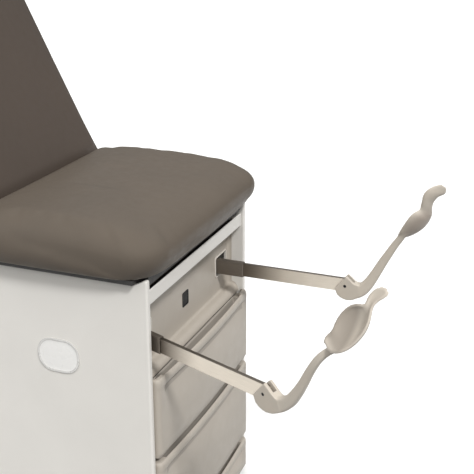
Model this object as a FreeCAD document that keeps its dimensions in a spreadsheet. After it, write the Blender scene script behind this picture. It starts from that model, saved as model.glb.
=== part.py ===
import FreeCAD, Part
import os
import math
import Sketcher

# Box-base examination table: a steel cabinet with two drawers and a pull-out step,
# a fixed seat, a tilting backrest on a gas spring, a pull-out leg rest and two
# swinging, sliding, folding stirrups.
#
# Frame: Z = 0 is the floor, X = 0 the centre plane, the foot end faces -Y and the
# head end +Y.  The origin is on the floor under the middle of the cabinet.
# Everything is stored in the pose of use: backrest raised, stirrups drawn out,
# the left one swung outwards, drawers, leg rest and step closed.

V = FreeCAD.Vector
doc = FreeCAD.newDocument("examination_table")
sheet = doc.addObject("Spreadsheet::Sheet", "dims")


class Q:
    """A length that carries its number and its sheet expression."""

    def __init__(self, v, e):
        self.v, self.e = float(v), e

    def __add__(self, o):
        o = q(o)
        return Q(self.v + o.v, "(%s + %s)" % (self.e, o.e))

    def __radd__(self, o):
        return q(o) + self

    def __sub__(self, o):
        o = q(o)
        return Q(self.v - o.v, "(%s - %s)" % (self.e, o.e))

    def __rsub__(self, o):
        return q(o) - self

    def __mul__(self, o):
        o = q(o)
        return Q(self.v * o.v, "(%s * %s)" % (self.e, o.e))

    def __rmul__(self, o):
        return q(o) * self

    def __truediv__(self, o):
        o = q(o)
        return Q(self.v / o.v, "(%s / %s)" % (self.e, o.e))

    def __neg__(self):
        return Q(-self.v, "(0 - %s)" % self.e)


def q(o):
    return o if isinstance(o, Q) else Q(o, "%.6f" % o)


class Dims:
    pass


d = Dims()
row = [0]


def dim(name, value, note):
    row[0] += 1
    sheet.set("A%d" % row[0], note)
    sheet.set("B%d" % row[0], repr(float(value)))
    sheet.setAlias("B%d" % row[0], name)
    setattr(d, name, Q(value, "dims." + name))


# ---------------------------------------------------------------- driving sizes
dim("base_w", 568, "cabinet width over the side panels")
dim("base_l", 1040, "cabinet length")
dim("panel_t", 14, "side and rear panel thickness")
dim("panel_top", 775, "height of the side panels' top edge")
dim("panel_gap", 8, "shadow gap under the panels")
dim("skin_t", 1.2, "sheet thickness of the double-skinned panels")
dim("panel_rim", 7, "solid rim of those panels")
dim("panel_r", 5, "rounding of the panels' front edge")
dim("horn_h", 13, "rise of the side panel at its front corner")
dim("horn_l", 10, "length of that rise")
dim("plinth_h", 12, "base plinth height")
dim("plinth_set", 25, "plinth set back from the front")
dim("deck_top", 781, "height of the top deck")
dim("deck_t", 12, "deck thickness")
dim("deck_set", 20, "deck set back from the front")
dim("rail_z", 725.5, "bottom of the leg rest's front rail")
dim("rail_h", 34.5, "height of that rail")
dim("rail_set", 5, "rail set back from the panel edge")
dim("rail_t", 17, "rail thickness")
dim("leg_l", 455, "length of the leg rest board")
dim("recess", 44, "depth of the stirrup recess")
dim("wall", 4, "moulded wall thickness")
dim("cove_r", 8, "radius of the cove under the recess")
dim("ledge_t", 4, "ledge thickness")
dim("ledge_y", 9, "ledge edge behind the front plane")
dim("recess_top", 724, "top of the stirrup panel")
dim("recess_bot", 556.6, "bottom of the stirrup panel")
dim("slot_in", 186, "inner edge of a stirrup slot")
dim("slot_out", 255, "outer edge of a stirrup slot")
dim("slot_low", 608, "lower edge of a slot")
dim("slot_high", 658, "upper edge of a slot")
dim("bezel_w", 6, "width of a slot bezel")
dim("bezel_t", 3, "bezel standing proud")
dim("plug_w", 34, "width of the square blanking plug")
dim("plug_h", 37, "height of that plug")
dim("plug_z", 627, "height of its centre")
dim("stirrup_x", 197, "stirrup pivots from the centre plane")
dim("stirrup_y", 140, "stirrup pivots behind the front")
dim("bar_z", 636, "height of the stirrup bars")
dim("bar_h", 34, "bar height")
dim("bar_t", 9.5, "bar thickness")
dim("bar_l", 534, "bar length")
dim("sleeve_w", 18, "guide sleeve width")
dim("sleeve_h", 39, "guide sleeve height")
dim("sleeve_f", 170, "sleeve in front of its pivot")
dim("sleeve_r", 110, "sleeve behind its pivot")
dim("fit_gap", 0.15, "clearance of a bar in its sleeve")
dim("stub_r", 8, "radius of the sleeve's pivot stubs")
dim("run_gap", 0.05, "running clearance of pins and stubs")
dim("reach_l", 464, "left heel rest pin from its pivot")
dim("reach_r", 434, "right heel rest pin from its pivot")
dim("swing_l", 21.5, "outward swing of the left stirrup, degrees")
dim("heel_pin_r", 4, "heel rest pin radius")
dim("clevis_w", 24, "heel rest clevis width")
dim("arm_w", 14, "heel rest arm width")
dim("cup_a", 42, "heel cup half length")
dim("cup_b", 34, "heel cup half width")
dim("cup_c", 32, "heel cup depth")
dim("cup_t", 6, "heel cup wall")
dim("tab_w", 34, "toe tab width")
dim("tab_l", 70, "toe tab length")
dim("tab_t", 5, "toe tab thickness")
dim("cup_al", 50, "left heel cup half length")
dim("cup_bl", 37, "left heel cup half width")
dim("cup_cl", 25, "left heel cup depth")
dim("tab_wl", 24, "left toe tab width")
dim("tab_ll", 55, "left toe tab length")
dim("front_w", 535, "width of drawer and step fronts")
dim("bow_r", 3650, "plan radius of the bowed fronts")
dim("front_y", -22, "fronts' middle from the panel edge")
dim("front_back", 18, "flat back of the fronts")
dim("lip_t", 8, "thickness of a front's pull lip")
dim("pull_w", 18, "width of the finger trough behind the lip")
dim("pull_l", 470, "length of that trough")
dim("up_top", 555, "top of the upper drawer front")
dim("up_bot", 355, "bottom of the upper drawer front")
dim("low_top", 343, "top of the lower drawer front")
dim("low_bot", 119, "bottom of the lower drawer front")
dim("step_top", 107, "top of the step front")
dim("step_bot", 14, "bottom of the step front")
dim("box_w", 514, "drawer box width")
dim("box_l", 462, "drawer box length")
dim("box_t", 6, "drawer box wall")
dim("runner_t", 6, "drawer runner thickness")
dim("step_l", 362, "step frame length")
dim("tread_t", 6, "step tread thickness")
dim("seat_w", 650, "seat cushion width")
dim("seat_f", -42, "seat cushion's front from the panel edge")
dim("seat_r", 424, "seat cushion's rear from the panel edge")
dim("seat_z", 793, "seat cushion's underside")
dim("seat_h", 105, "seat cushion thickness")
dim("board_w", 600, "seat and back board width")
dim("hinge_y", 446, "backrest hinge behind the front")
dim("hinge_z", 867, "backrest hinge height")
dim("hinge_r", 5, "hinge pin radius")
dim("back_angle", 63.4, "backrest angle in use, degrees")
dim("back_w", 640, "backrest cushion width")
dim("back_l", 745, "backrest cushion beyond the hinge")
dim("back_up", 20, "backrest face above the hinge")
dim("back_dn", 62, "backrest cushion below the hinge")
dim("back_bt", 15, "backrest board thickness")
dim("gas_r", 14, "gas spring cylinder radius")
dim("gas_rod_r", 6, "gas spring rod radius")
dim("gas_ay", 535, "gas spring lower pivot behind the front")
dim("gas_az", 450, "gas spring lower pivot height")
dim("gas_by", 200, "upper pivot along the backrest")
dim("gas_bz", 100, "upper pivot below the hinge line")
dim("gas_len", 306, "gas spring cylinder length")

# The gas spring's length and lean follow from its two pivots at the angle of use.
_t = math.radians(d.back_angle.v)
_by = d.hinge_y.v + d.gas_by.v * math.cos(_t) + d.gas_bz.v * math.sin(_t)
_bz = d.hinge_z.v + d.gas_by.v * math.sin(_t) - d.gas_bz.v * math.cos(_t)
dim("gas_span", round(math.hypot(_by - d.gas_ay.v, _bz - d.gas_az.v), 4), "gas spring length in use")
dim("gas_lean", round(math.degrees(math.atan2(_by - d.gas_ay.v, _bz - d.gas_az.v)), 5), "gas spring lean in use, degrees")
doc.recompute()

half = d.base_w / 2
inner = half - d.panel_t
yf = -(d.base_l / 2)
yr = d.base_l / 2
deck_low = d.deck_top - d.deck_t

nodes = []


def node(label, obj):
    obj.Label = label
    nodes.append((label, obj))
    return obj


def bind(obj, prop, value):
    obj.setExpression(prop, q(value).e)


def at(obj, x=None, y=None, z=None, axis=None, angle=None):
    """Placement of an object, bound to the sheet."""
    if axis is not None:
        obj.Placement = FreeCAD.Placement(V(0, 0, 0), FreeCAD.Rotation(axis, q(angle).v))
        bind(obj, "Placement.Rotation.Angle", angle)
    for n, v in (("x", x), ("y", y), ("z", z)):
        if v is not None:
            bind(obj, "Placement.Base." + n, v)
    return obj


count = [0]


def name(base):
    count[0] += 1
    return "%s_%d" % (base, count[0])


def box(x0, x1, y0, y1, z0, z1, base="block"):
    b = doc.addObject("Part::Box", name(base))
    bind(b, "Length", q(x1) - x0)
    bind(b, "Width", q(y1) - y0)
    bind(b, "Height", q(z1) - z0)
    return at(b, x0, y0, z0)


def rod_x(r, x0, x1, y, z, base="round"):
    """A cylinder along X."""
    c = doc.addObject("Part::Cylinder", name(base))
    bind(c, "Radius", r)
    bind(c, "Height", q(x1) - x0)
    c.Placement = FreeCAD.Placement(V(0, 0, 0), FreeCAD.Rotation(V(0, 1, 0), 90))
    return at(c, x0, y, z)


def rod_y(r, y0, y1, x, z, base="round"):
    """A cylinder along Y."""
    c = doc.addObject("Part::Cylinder", name(base))
    bind(c, "Radius", r)
    bind(c, "Height", q(y1) - y0)
    c.Placement = FreeCAD.Placement(V(0, 0, 0), FreeCAD.Rotation(V(1, 0, 0), -90))
    return at(c, x, y0, z)


def rod_z(r, z0, z1, x, y, base="round"):
    """A cylinder along Z."""
    c = doc.addObject("Part::Cylinder", name(base))
    bind(c, "Radius", r)
    bind(c, "Height", q(z1) - z0)
    return at(c, x, y, z0)


def fuse(*objs):
    f = doc.addObject("Part::MultiFuse", name("joined"))
    f.Shapes = list(objs)
    return f


def cut(a, *tools):
    for t in tools:
        c = doc.addObject("Part::Cut", name("cut"))
        c.Base, c.Tool = a, t
        a = c
    return a


def group(*objs):
    g = doc.addObject("Part::Compound", name("set"))
    g.Links = list(objs)
    return g


def plane(b, role):
    for o in b.Origin.OriginFeatures:
        if o.Role == role:
            return o


def sketch(b, role):
    s = b.newObject("Sketcher::SketchObject", name("sketch"))
    s.AttachmentSupport = [(plane(b, role), "")]
    s.MapMode = "FlatFace"
    return s


def outline(s, pts, arcs=None):
    """A closed outline through the points; arcs maps an edge's number to a point on its arc."""
    arcs = arcs or {}
    first = s.GeometryCount
    n = len(pts)
    P = [(q(a), q(b)) for a, b in pts]
    swap = []
    for i in range(n):
        a, b = P[i], P[(i + 1) % n]
        p0, p1 = V(a[0].v, a[1].v, 0), V(b[0].v, b[1].v, 0)
        if i in arcs:
            m = V(arcs[i][0], arcs[i][1], 0)
            arc = Part.Arc(p0, m, p1)
            s.addGeometry(arc, False)
            g = s.Geometry[first + i]
            swap.append((g.StartPoint - p0).Length > 1e-6)
        else:
            s.addGeometry(Part.LineSegment(p0, p1), False)
            swap.append(False)
    for i in range(n):
        j = (i + 1) % n
        s.addConstraint(Sketcher.Constraint("Coincident", first + i, 1 if swap[i] else 2, first + j, 2 if swap[j] else 1))
    for i in range(n):
        for kind, val in (("DistanceX", P[i][0]), ("DistanceY", P[i][1])):
            k = s.addConstraint(Sketcher.Constraint(kind, -1, 1, first + i, 2 if swap[i] else 1, val.v))
            s.setExpression("Constraints[%d]" % k, val.e)
        if i in arcs:
            k = s.addConstraint(Sketcher.Constraint("Radius", first + i, s.Geometry[first + i].Radius))
            if len(arcs[i]) > 2:
                s.setExpression("Constraints[%d]" % k, q(arcs[i][2]).e)


def pad(b, s, length, both=False):
    p = b.newObject("PartDesign::Pad", name("pad"))
    p.Profile = s
    bind(p, "Length", length)
    if both:
        p.SideType = "Symmetric"
    return p


def pocket(b, s):
    p = b.newObject("PartDesign::Pocket", name("pocket"))
    p.Profile = s
    p.Type = "ThroughAll"
    p.SideType = "Symmetric"
    return p


def fillet(b, base, radius, pick):
    doc.recompute()
    names = ["Edge%d" % (i + 1) for i, e in enumerate(base.Shape.Edges) if pick(e)]
    f = b.newObject("PartDesign::Fillet", name("fillet"))
    f.Base = (base, names)
    bind(f, "Radius", radius)
    doc.recompute()
    return f


def body(base):
    return doc.addObject("PartDesign::Body", name(base))


# ---------------------------------------------------------------- cabinet
node("base_plinth", box(-inner, inner, yf + d.plinth_set, yr - d.panel_t, 0, d.plinth_h))


def side_panel(label, x0):
    b = body("panel")
    s = sketch(b, "YZ_Plane")
    top = d.panel_top + d.horn_h
    outline(s, [(yf, d.panel_gap), (yr, d.panel_gap), (yr, d.panel_top),
                (yf + d.horn_l * 2, d.panel_top), (yf + d.horn_l, top), (yf, top)])
    p = pad(b, s, d.panel_t)
    fillet(b, p, d.panel_r, lambda e: abs(e.BoundBox.YMax - yf.v) < 0.01 and e.BoundBox.ZLength > 500)
    at(b, x0)
    k, r = d.skin_t, d.panel_rim
    node(label, cut(b, box(x0 + k, x0 + d.panel_t - k, yf + r, yr - r, d.panel_gap + r, d.panel_top - r)))


side_panel("side_panel_left", -half)
side_panel("side_panel_right", half - d.panel_t)
node("rear_panel", cut(box(-inner, inner, yr - d.panel_t, yr, d.panel_gap, deck_low),
                       box(-inner + d.panel_rim, inner - d.panel_rim, yr - d.panel_t + d.skin_t, yr - d.skin_t,
                           d.panel_gap + d.panel_rim, deck_low - d.panel_rim)))
node("top_deck", cut(box(-inner, inner, yf + d.deck_set, yr, deck_low, d.deck_top),
                     box(-40, 40, yf + 480, yf + 720, deck_low - 1, d.deck_top + 1)))
node("cross_rails", group(box(-inner, inner, yf + 22, yf + 46, d.low_top + 2, d.up_bot - 2),
                          box(-inner, inner, yf + 22, yf + 46, d.step_top + 2, d.low_bot - 2)))

# Stirrup panel: a recessed wall that runs out forwards in a small cove and a ledge with a round edge.
sp = body("recess")
s = sketch(sp, "YZ_Plane")
w0 = yf + d.recess
l_z = d.recess_bot + d.ledge_t
c_z = l_z + d.cove_r
c_y = w0 - d.cove_r
l_y = yf + d.ledge_y
outline(s, [(w0, d.recess_top), (w0, c_z), (c_y, l_z), (l_y, l_z), (l_y, d.recess_bot), (w0 + d.wall, d.recess_bot), (w0 + d.wall, d.recess_top)],
        arcs={1: (c_y.v + d.cove_r.v * math.cos(math.radians(45)), c_z.v - d.cove_r.v * math.sin(math.radians(45)), d.cove_r),
              3: (l_y.v - d.ledge_t.v * 0.42, d.recess_bot.v + d.ledge_t.v / 2)})
pad(sp, s, inner * 2, both=True)
s = sketch(sp, "XZ_Plane")
for sx in (-1, 1):
    a, b = (d.slot_in, d.slot_out) if sx > 0 else (-d.slot_out, -d.slot_in)
    outline(s, [(a, d.slot_low), (b, d.slot_low), (b, d.slot_high), (a, d.slot_high)])
outline(s, [(-(d.plug_w / 2), d.plug_z - d.plug_h / 2), (d.plug_w / 2, d.plug_z - d.plug_h / 2),
            (d.plug_w / 2, d.plug_z + d.plug_h / 2), (-(d.plug_w / 2), d.plug_z + d.plug_h / 2)])
pocket(sp, s)
node("stirrup_panel", sp)


def bezel(a, b):
    w = d.bezel_w
    return cut(box(a - w, b + w, w0 - d.bezel_t, w0, d.slot_low - w, d.slot_high + w),
               box(a, b, w0 - d.bezel_t - 1, w0 + 1, d.slot_low, d.slot_high))


node("slot_bezels", group(bezel(-d.slot_out, -d.slot_in), bezel(d.slot_in, d.slot_out)))
node("blanking_plug", box(-(d.plug_w / 2), d.plug_w / 2, w0 - 1.5, w0 + d.wall,
                          d.plug_z - d.plug_h / 2, d.plug_z + d.plug_h / 2))

# Blank name plate on the left panel: a rounded tile.
bp = body("tile")
s = sketch(bp, "YZ_Plane")
outline(s, [(-52, -41), (52, -41), (52, 41), (-52, 41)])
p = pad(bp, s, 2.5)
fillet(bp, p, 37, lambda e: e.BoundBox.XLength > 2 and e.BoundBox.YLength < 0.1 and e.BoundBox.ZLength < 0.1)
at(bp, -half - 2.5, yf + 222, d.panel_top - 196)
node("name_plate", bp)

# Plates that carry the stirrup pivots.
pv_y = yf + d.stirrup_y
sl_low = d.bar_z - d.sleeve_h / 2
sl_high = d.bar_z + d.sleeve_h / 2
node("stirrup_shelf", cut(box(-inner, inner, w0 + d.wall, yf + 300, sl_low - 11, sl_low - 5),
                          rod_z(d.stub_r + d.run_gap, sl_low - 12, sl_low - 4, -d.stirrup_x, pv_y),
                          rod_z(d.stub_r + d.run_gap, sl_low - 12, sl_low - 4, d.stirrup_x, pv_y)))
node("stirrup_bridge", cut(box(-inner, inner, pv_y - 35, pv_y + 35, sl_high + 4, sl_high + 10),
                           rod_z(d.stub_r + d.run_gap, sl_high + 3, sl_high + 11, -d.stirrup_x, pv_y),
                           rod_z(d.stub_r + d.run_gap, sl_high + 3, sl_high + 11, d.stirrup_x, pv_y)))

# Runners on the cabinet: upper drawer, lower drawer, step.
run_x = d.box_w / 2 + d.runner_t + 0.5
rails = []
for z0, z1, y1 in ((430, 460, 500), (210, 240, 500), (40, 65, 400)):
    rails.append(box(-inner, -run_x, yf + 30, yf + y1, z0, z1, "runner"))
    rails.append(box(run_x, inner, yf + 30, yf + y1, z0, z1, "runner"))
node("cabinet_runners", group(*rails))
lr_low = d.rail_z + 4.5
node("leg_rest_guides", group(box(-inner, -inner + 18, yf + d.recess + 6, yf + 480, lr_low - 10, lr_low - 0.3),
                              box(inner - 18, inner, yf + d.recess + 6, yf + 480, lr_low - 10, lr_low - 0.3)))

# Seat: black board and a plain cushion solid.
# The board has a narrower nose whose front edge hangs down in front of the deck.
node("seat_board", fuse(box(-(d.board_w / 2), d.board_w / 2, yf + 25, yf + d.seat_r - 6, d.deck_top, d.seat_z),
                        box(-263, 263, yf + 7, yf + 27, d.deck_top, d.seat_z),
                        box(-263, 263, yf + 7, yf + 19, d.deck_top - 12.4, d.deck_top + 2)))
sc = body("seat")
s = sketch(sc, "XY_Plane")
hw = d.seat_w / 2
outline(s, [(-hw, yf + d.seat_f), (hw, yf + d.seat_f), (hw, yf + d.seat_r), (-hw, yf + d.seat_r)])
p = pad(sc, s, d.seat_h)
p = fillet(sc, p, 85, lambda e: e.BoundBox.ZLength > 50 and e.BoundBox.YMax < yf.v)
p = fillet(sc, p, 45, lambda e: e.BoundBox.ZLength > 50 and e.BoundBox.YMin > yf.v + d.seat_r.v - 1)
p = fillet(sc, p, 38, lambda e: e.BoundBox.ZMin > d.seat_h.v - 1)
fillet(sc, p, 18, lambda e: e.BoundBox.ZMax < 1)
at(sc, z=d.seat_z)
node("seat_cushion", sc)

# Backrest hinge: ears on the deck, their pins, and bumpers for the lowered backrest.
hy, hz = yf + d.hinge_y, d.hinge_z


def ear(a, b, f0, f1):
    e = fuse(box(a, b, hy - 13, hy + 13, d.deck_top, hz), rod_x(13, a, b, hy, hz),
             box(f0, f1, hy - 16, hy + 16, d.deck_top, d.deck_top + 6))
    return cut(e, rod_x(d.hinge_r + d.run_gap, q(a) - 1, q(b) + 1, hy, hz))


node("hinge_ears", group(ear(-242, -234, -262, -240), ear(234, 242, 240, 262)))
node("hinge_pins", group(rod_x(d.hinge_r, -244, -222, hy, hz), rod_x(d.hinge_r, 222, 244, hy, hz)))
node("back_bumpers", group(rod_z(15, d.deck_top, d.deck_top + 8.5, -200, yf + 985),
                           rod_z(15, d.deck_top, d.deck_top + 8.5, 200, yf + 985)))

# Gas spring mount.
ga_y, ga_z = yf + d.gas_ay, d.gas_az
gm = fuse(box(-inner, inner, ga_y - 15, ga_y + 15, ga_z - 55, ga_z - 25),
          box(-13, -7, ga_y - 12, ga_y + 12, ga_z - 30, ga_z + 10),
          box(7, 13, ga_y - 12, ga_y + 12, ga_z - 30, ga_z + 10))
node("spring_mount", cut(gm, rod_x(d.hinge_r + d.run_gap, -20, 20, ga_y, ga_z)))
node("spring_pin", rod_x(d.hinge_r, -16, 16, ga_y, ga_z))

# Button-head screws on the rear panel.
node("panel_screws", group(*[rod_y(5, yr, yr + 2.5, x, z) for x in (-255, 255) for z in (80, 300, 520, 740)]))

# ---------------------------------------------------------------- backrest, in its hinge's frame
X1 = V(1, 0, 0)


def leaned(obj):
    g = group(obj)
    return at(g, 0, hy, hz, X1, d.back_angle)


bw = d.board_w / 2
node("back_board", leaned(box(-bw, bw, 25, d.back_l - 5, -d.back_dn - d.back_bt, -d.back_dn)))
bc = body("back")
s = sketch(bc, "YZ_Plane")
u = d.back_up


def bend(cy, cz, r, a0, a1, n=4):
    """Points on a quarter round, from angle a0 to a1."""
    out = []
    for i in range(n + 1):
        a = math.radians(a0 + (a1 - a0) * i / n)
        out.append((cy + r * math.cos(a), cz + r * math.sin(a)))
    return out


outline(s, [(-u, -d.back_dn)] + bend(q(0), q(0), u, 180, 90) + bend(d.back_l - 30, u - 30, q(30), 90, 0) + [(d.back_l, -d.back_dn)])
pad(bc, s, d.back_w, both=True)
notch = [box(a, b, -25, 112, -d.back_dn - 1, 14.5) for a, b in ((-245, -206), (206, 245))]
node("back_cushion", leaned(cut(bc, *notch)))


def hinge_arm(a, b, f0, f1):
    m = body("arm")
    s = sketch(m, "YZ_Plane")
    outline(s, [(-11, -7), (7, 11), (110, -50), (110, -d.back_dn), (20, -d.back_dn)])
    pad(m, s, q(b) - a)
    at(m, a)
    e = fuse(m, rod_x(13, a, b, 0, 0), box(f0, f1, 20, 110, -d.back_dn, -d.back_dn + 4))
    return cut(e, rod_x(d.hinge_r + d.run_gap, q(a) - 1, q(b) + 1, 0, 0))


node("back_hinge_arms", leaned(group(hinge_arm(-232, -224, -226, -208), hinge_arm(224, 232, 208, 226))))
ub = d.back_dn + d.back_bt


def cheek(a, b, f0, f1):
    """One cheek of the gas spring's upper bracket, with a foot that points outwards."""
    return fuse(box(a, b, d.gas_by - 12, d.gas_by + 12, -d.gas_bz - 12, -ub),
                box(f0, f1, d.gas_by - 20, d.gas_by + 20, -ub - 4, -ub))


node("spring_bracket", leaned(group(cheek(-12.5, -7.5, -28, -7.5), cheek(7.5, 12.5, 7.5, 28))))
lv_y, lv_z = q(705), q(-92)
node("lever_bracket", leaned(group(*[cut(box(a, b, lv_y - 12, lv_y + 12, lv_z - 10, -ub),
                                         rod_x(3 + d.run_gap, a - 1, b + 1, lv_y, lv_z)) for a, b in ((-45, -41), (41, 45))])))
node("lever_pin", leaned(rod_x(3, -47, 47, lv_y, lv_z)))
node("release_lever", leaned(cut(fuse(rod_x(8, -39, 39, lv_y, lv_z), box(-39, 39, lv_y, lv_y + 62, lv_z - 3, lv_z + 3)),
                                 rod_x(3 + d.run_gap, -40, 40, lv_y, lv_z))))

# ---------------------------------------------------------------- gas spring, along its own axis


def along_spring(obj):
    g = group(obj)
    return at(g, 0, ga_y, ga_z, X1, -d.gas_lean)


cyl = fuse(rod_z(d.gas_r, 19, d.gas_len, 0, 0), rod_z(5, 3, 20, 0, 0), rod_x(11, -6, 6, 0, 0))
node("spring_cylinder", along_spring(cut(cyl, rod_x(d.hinge_r + d.run_gap, -8, 8, 0, 0),
                                         rod_z(d.gas_rod_r + d.run_gap, 21.5, d.gas_len + 1, 0, 0))))
gr = fuse(rod_z(d.gas_rod_r, d.gas_len - 60, d.gas_span, 0, 0), rod_x(9, -6.5, 6.5, 0, d.gas_span))
node("spring_rod", along_spring(cut(gr, rod_x(d.hinge_r + d.run_gap, -8, 8, 0, d.gas_span))))

# ---------------------------------------------------------------- leg rest
rl_y0 = yf + d.rail_set
rl_y1 = rl_y0 + d.rail_t
node("leg_rest_rail", box(-inner + 3, inner - 3, rl_y0, rl_y1, d.rail_z, d.rail_z + d.rail_h))
node("leg_rest_board", box(-inner + 12, inner - 12, rl_y1, rl_y1 + d.leg_l - 17, lr_low, lr_low + 12))
node("leg_rest_pad", box(-inner + 20, inner - 20, rl_y1 + 2, rl_y1 + d.leg_l - 27, lr_low + 12, lr_low + 34))

# ---------------------------------------------------------------- drawers and step


def turned(b, pts, width):
    """A profile bowed in plan over the given width."""
    s = sketch(b, "YZ_Plane")
    outline(s, pts)
    rv = b.newObject("PartDesign::Revolution", name("turn"))
    rv.Profile = s
    rv.ReferenceAxis = (s, ["V_Axis"])
    rv.Midplane = True
    rv.setExpression("Angle", "2 * asin(%s / (2 * %s))" % (width.e, d.bow_r.e))


def front(label, z0, z1, deep):
    """A front bowed in plan, with a flat back, a tapered foot and a finger trough behind its top lip."""
    b = body("front")
    y = -d.bow_r
    turned(b, [(y + 10, z0), (y + 60, z0), (y + 60, z1), (y + 4, z1), (y, z1 - 6), (y, z0 + 22)], d.front_w)
    s = sketch(b, "XY_Plane")
    k = d.front_back - d.front_y - d.bow_r
    outline(s, [(-400, k), (400, k), (400, k + 120), (-400, k + 120)])
    pocket(b, s)
    at(b, y=yf + d.front_y + d.bow_r)
    g = body("trough")
    a = y + d.lip_t
    turned(g, [(a, z1 - deep), (a + d.pull_w, z1 - deep), (a + d.pull_w, z1 + 1), (a, z1 + 1)], d.pull_l)
    at(g, y=yf + d.front_y + d.bow_r)
    node(label, cut(b, g))


bx = d.box_w / 2


def drawer(tag, z_bot, z_top, box_z0, box_z1, run_z0, run_z1):
    front(tag + "_drawer_front", z_bot, z_top, 39)
    y0 = yf + d.front_back
    node(tag + "_drawer_box", cut(box(-bx, bx, y0, y0 + d.box_l, box_z0, box_z1),
                                  box(-bx + d.box_t, bx - d.box_t, y0 + d.box_t, y0 + d.box_l - d.box_t,
                                      q(box_z0) + d.box_t, q(box_z1) + 1)))
    node(tag + "_drawer_runners", group(box(-bx - d.runner_t, -bx, y0 + 22, y0 + d.box_l, run_z0, run_z1),
                                        box(bx, bx + d.runner_t, y0 + 22, y0 + d.box_l, run_z0, run_z1)))


drawer("upper", d.up_bot, d.up_top, 375, 515, 432, 458)
drawer("lower", d.low_bot, d.low_top, 140, 300, 212, 238)

front("step_front", d.step_bot, d.step_top, 30)
sy = yf + d.front_back
node("step_frame", cut(box(-bx, bx, sy, sy + d.step_l, 16, 95), box(-bx + 3, bx - 3, sy + 3, sy + d.step_l - 3, 15, 92)))
node("step_tread", box(-bx + 10, bx - 10, sy + 4, sy + d.step_l - 40, 95, 95 + d.tread_t))
node("step_runners", group(box(-bx - d.runner_t, -bx, sy + 22, sy + d.step_l, 42, 62),
                           box(bx, bx + d.runner_t, sy + 22, sy + d.step_l, 42, 62)))
node("step_glides", group(rod_z(8, 1, d.step_bot, -210, yf + 8), rod_z(8, 1, d.step_bot, 210, yf + 8)))

# ---------------------------------------------------------------- stirrups, in their pivots' frames
Z1 = V(0, 0, 1)


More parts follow.
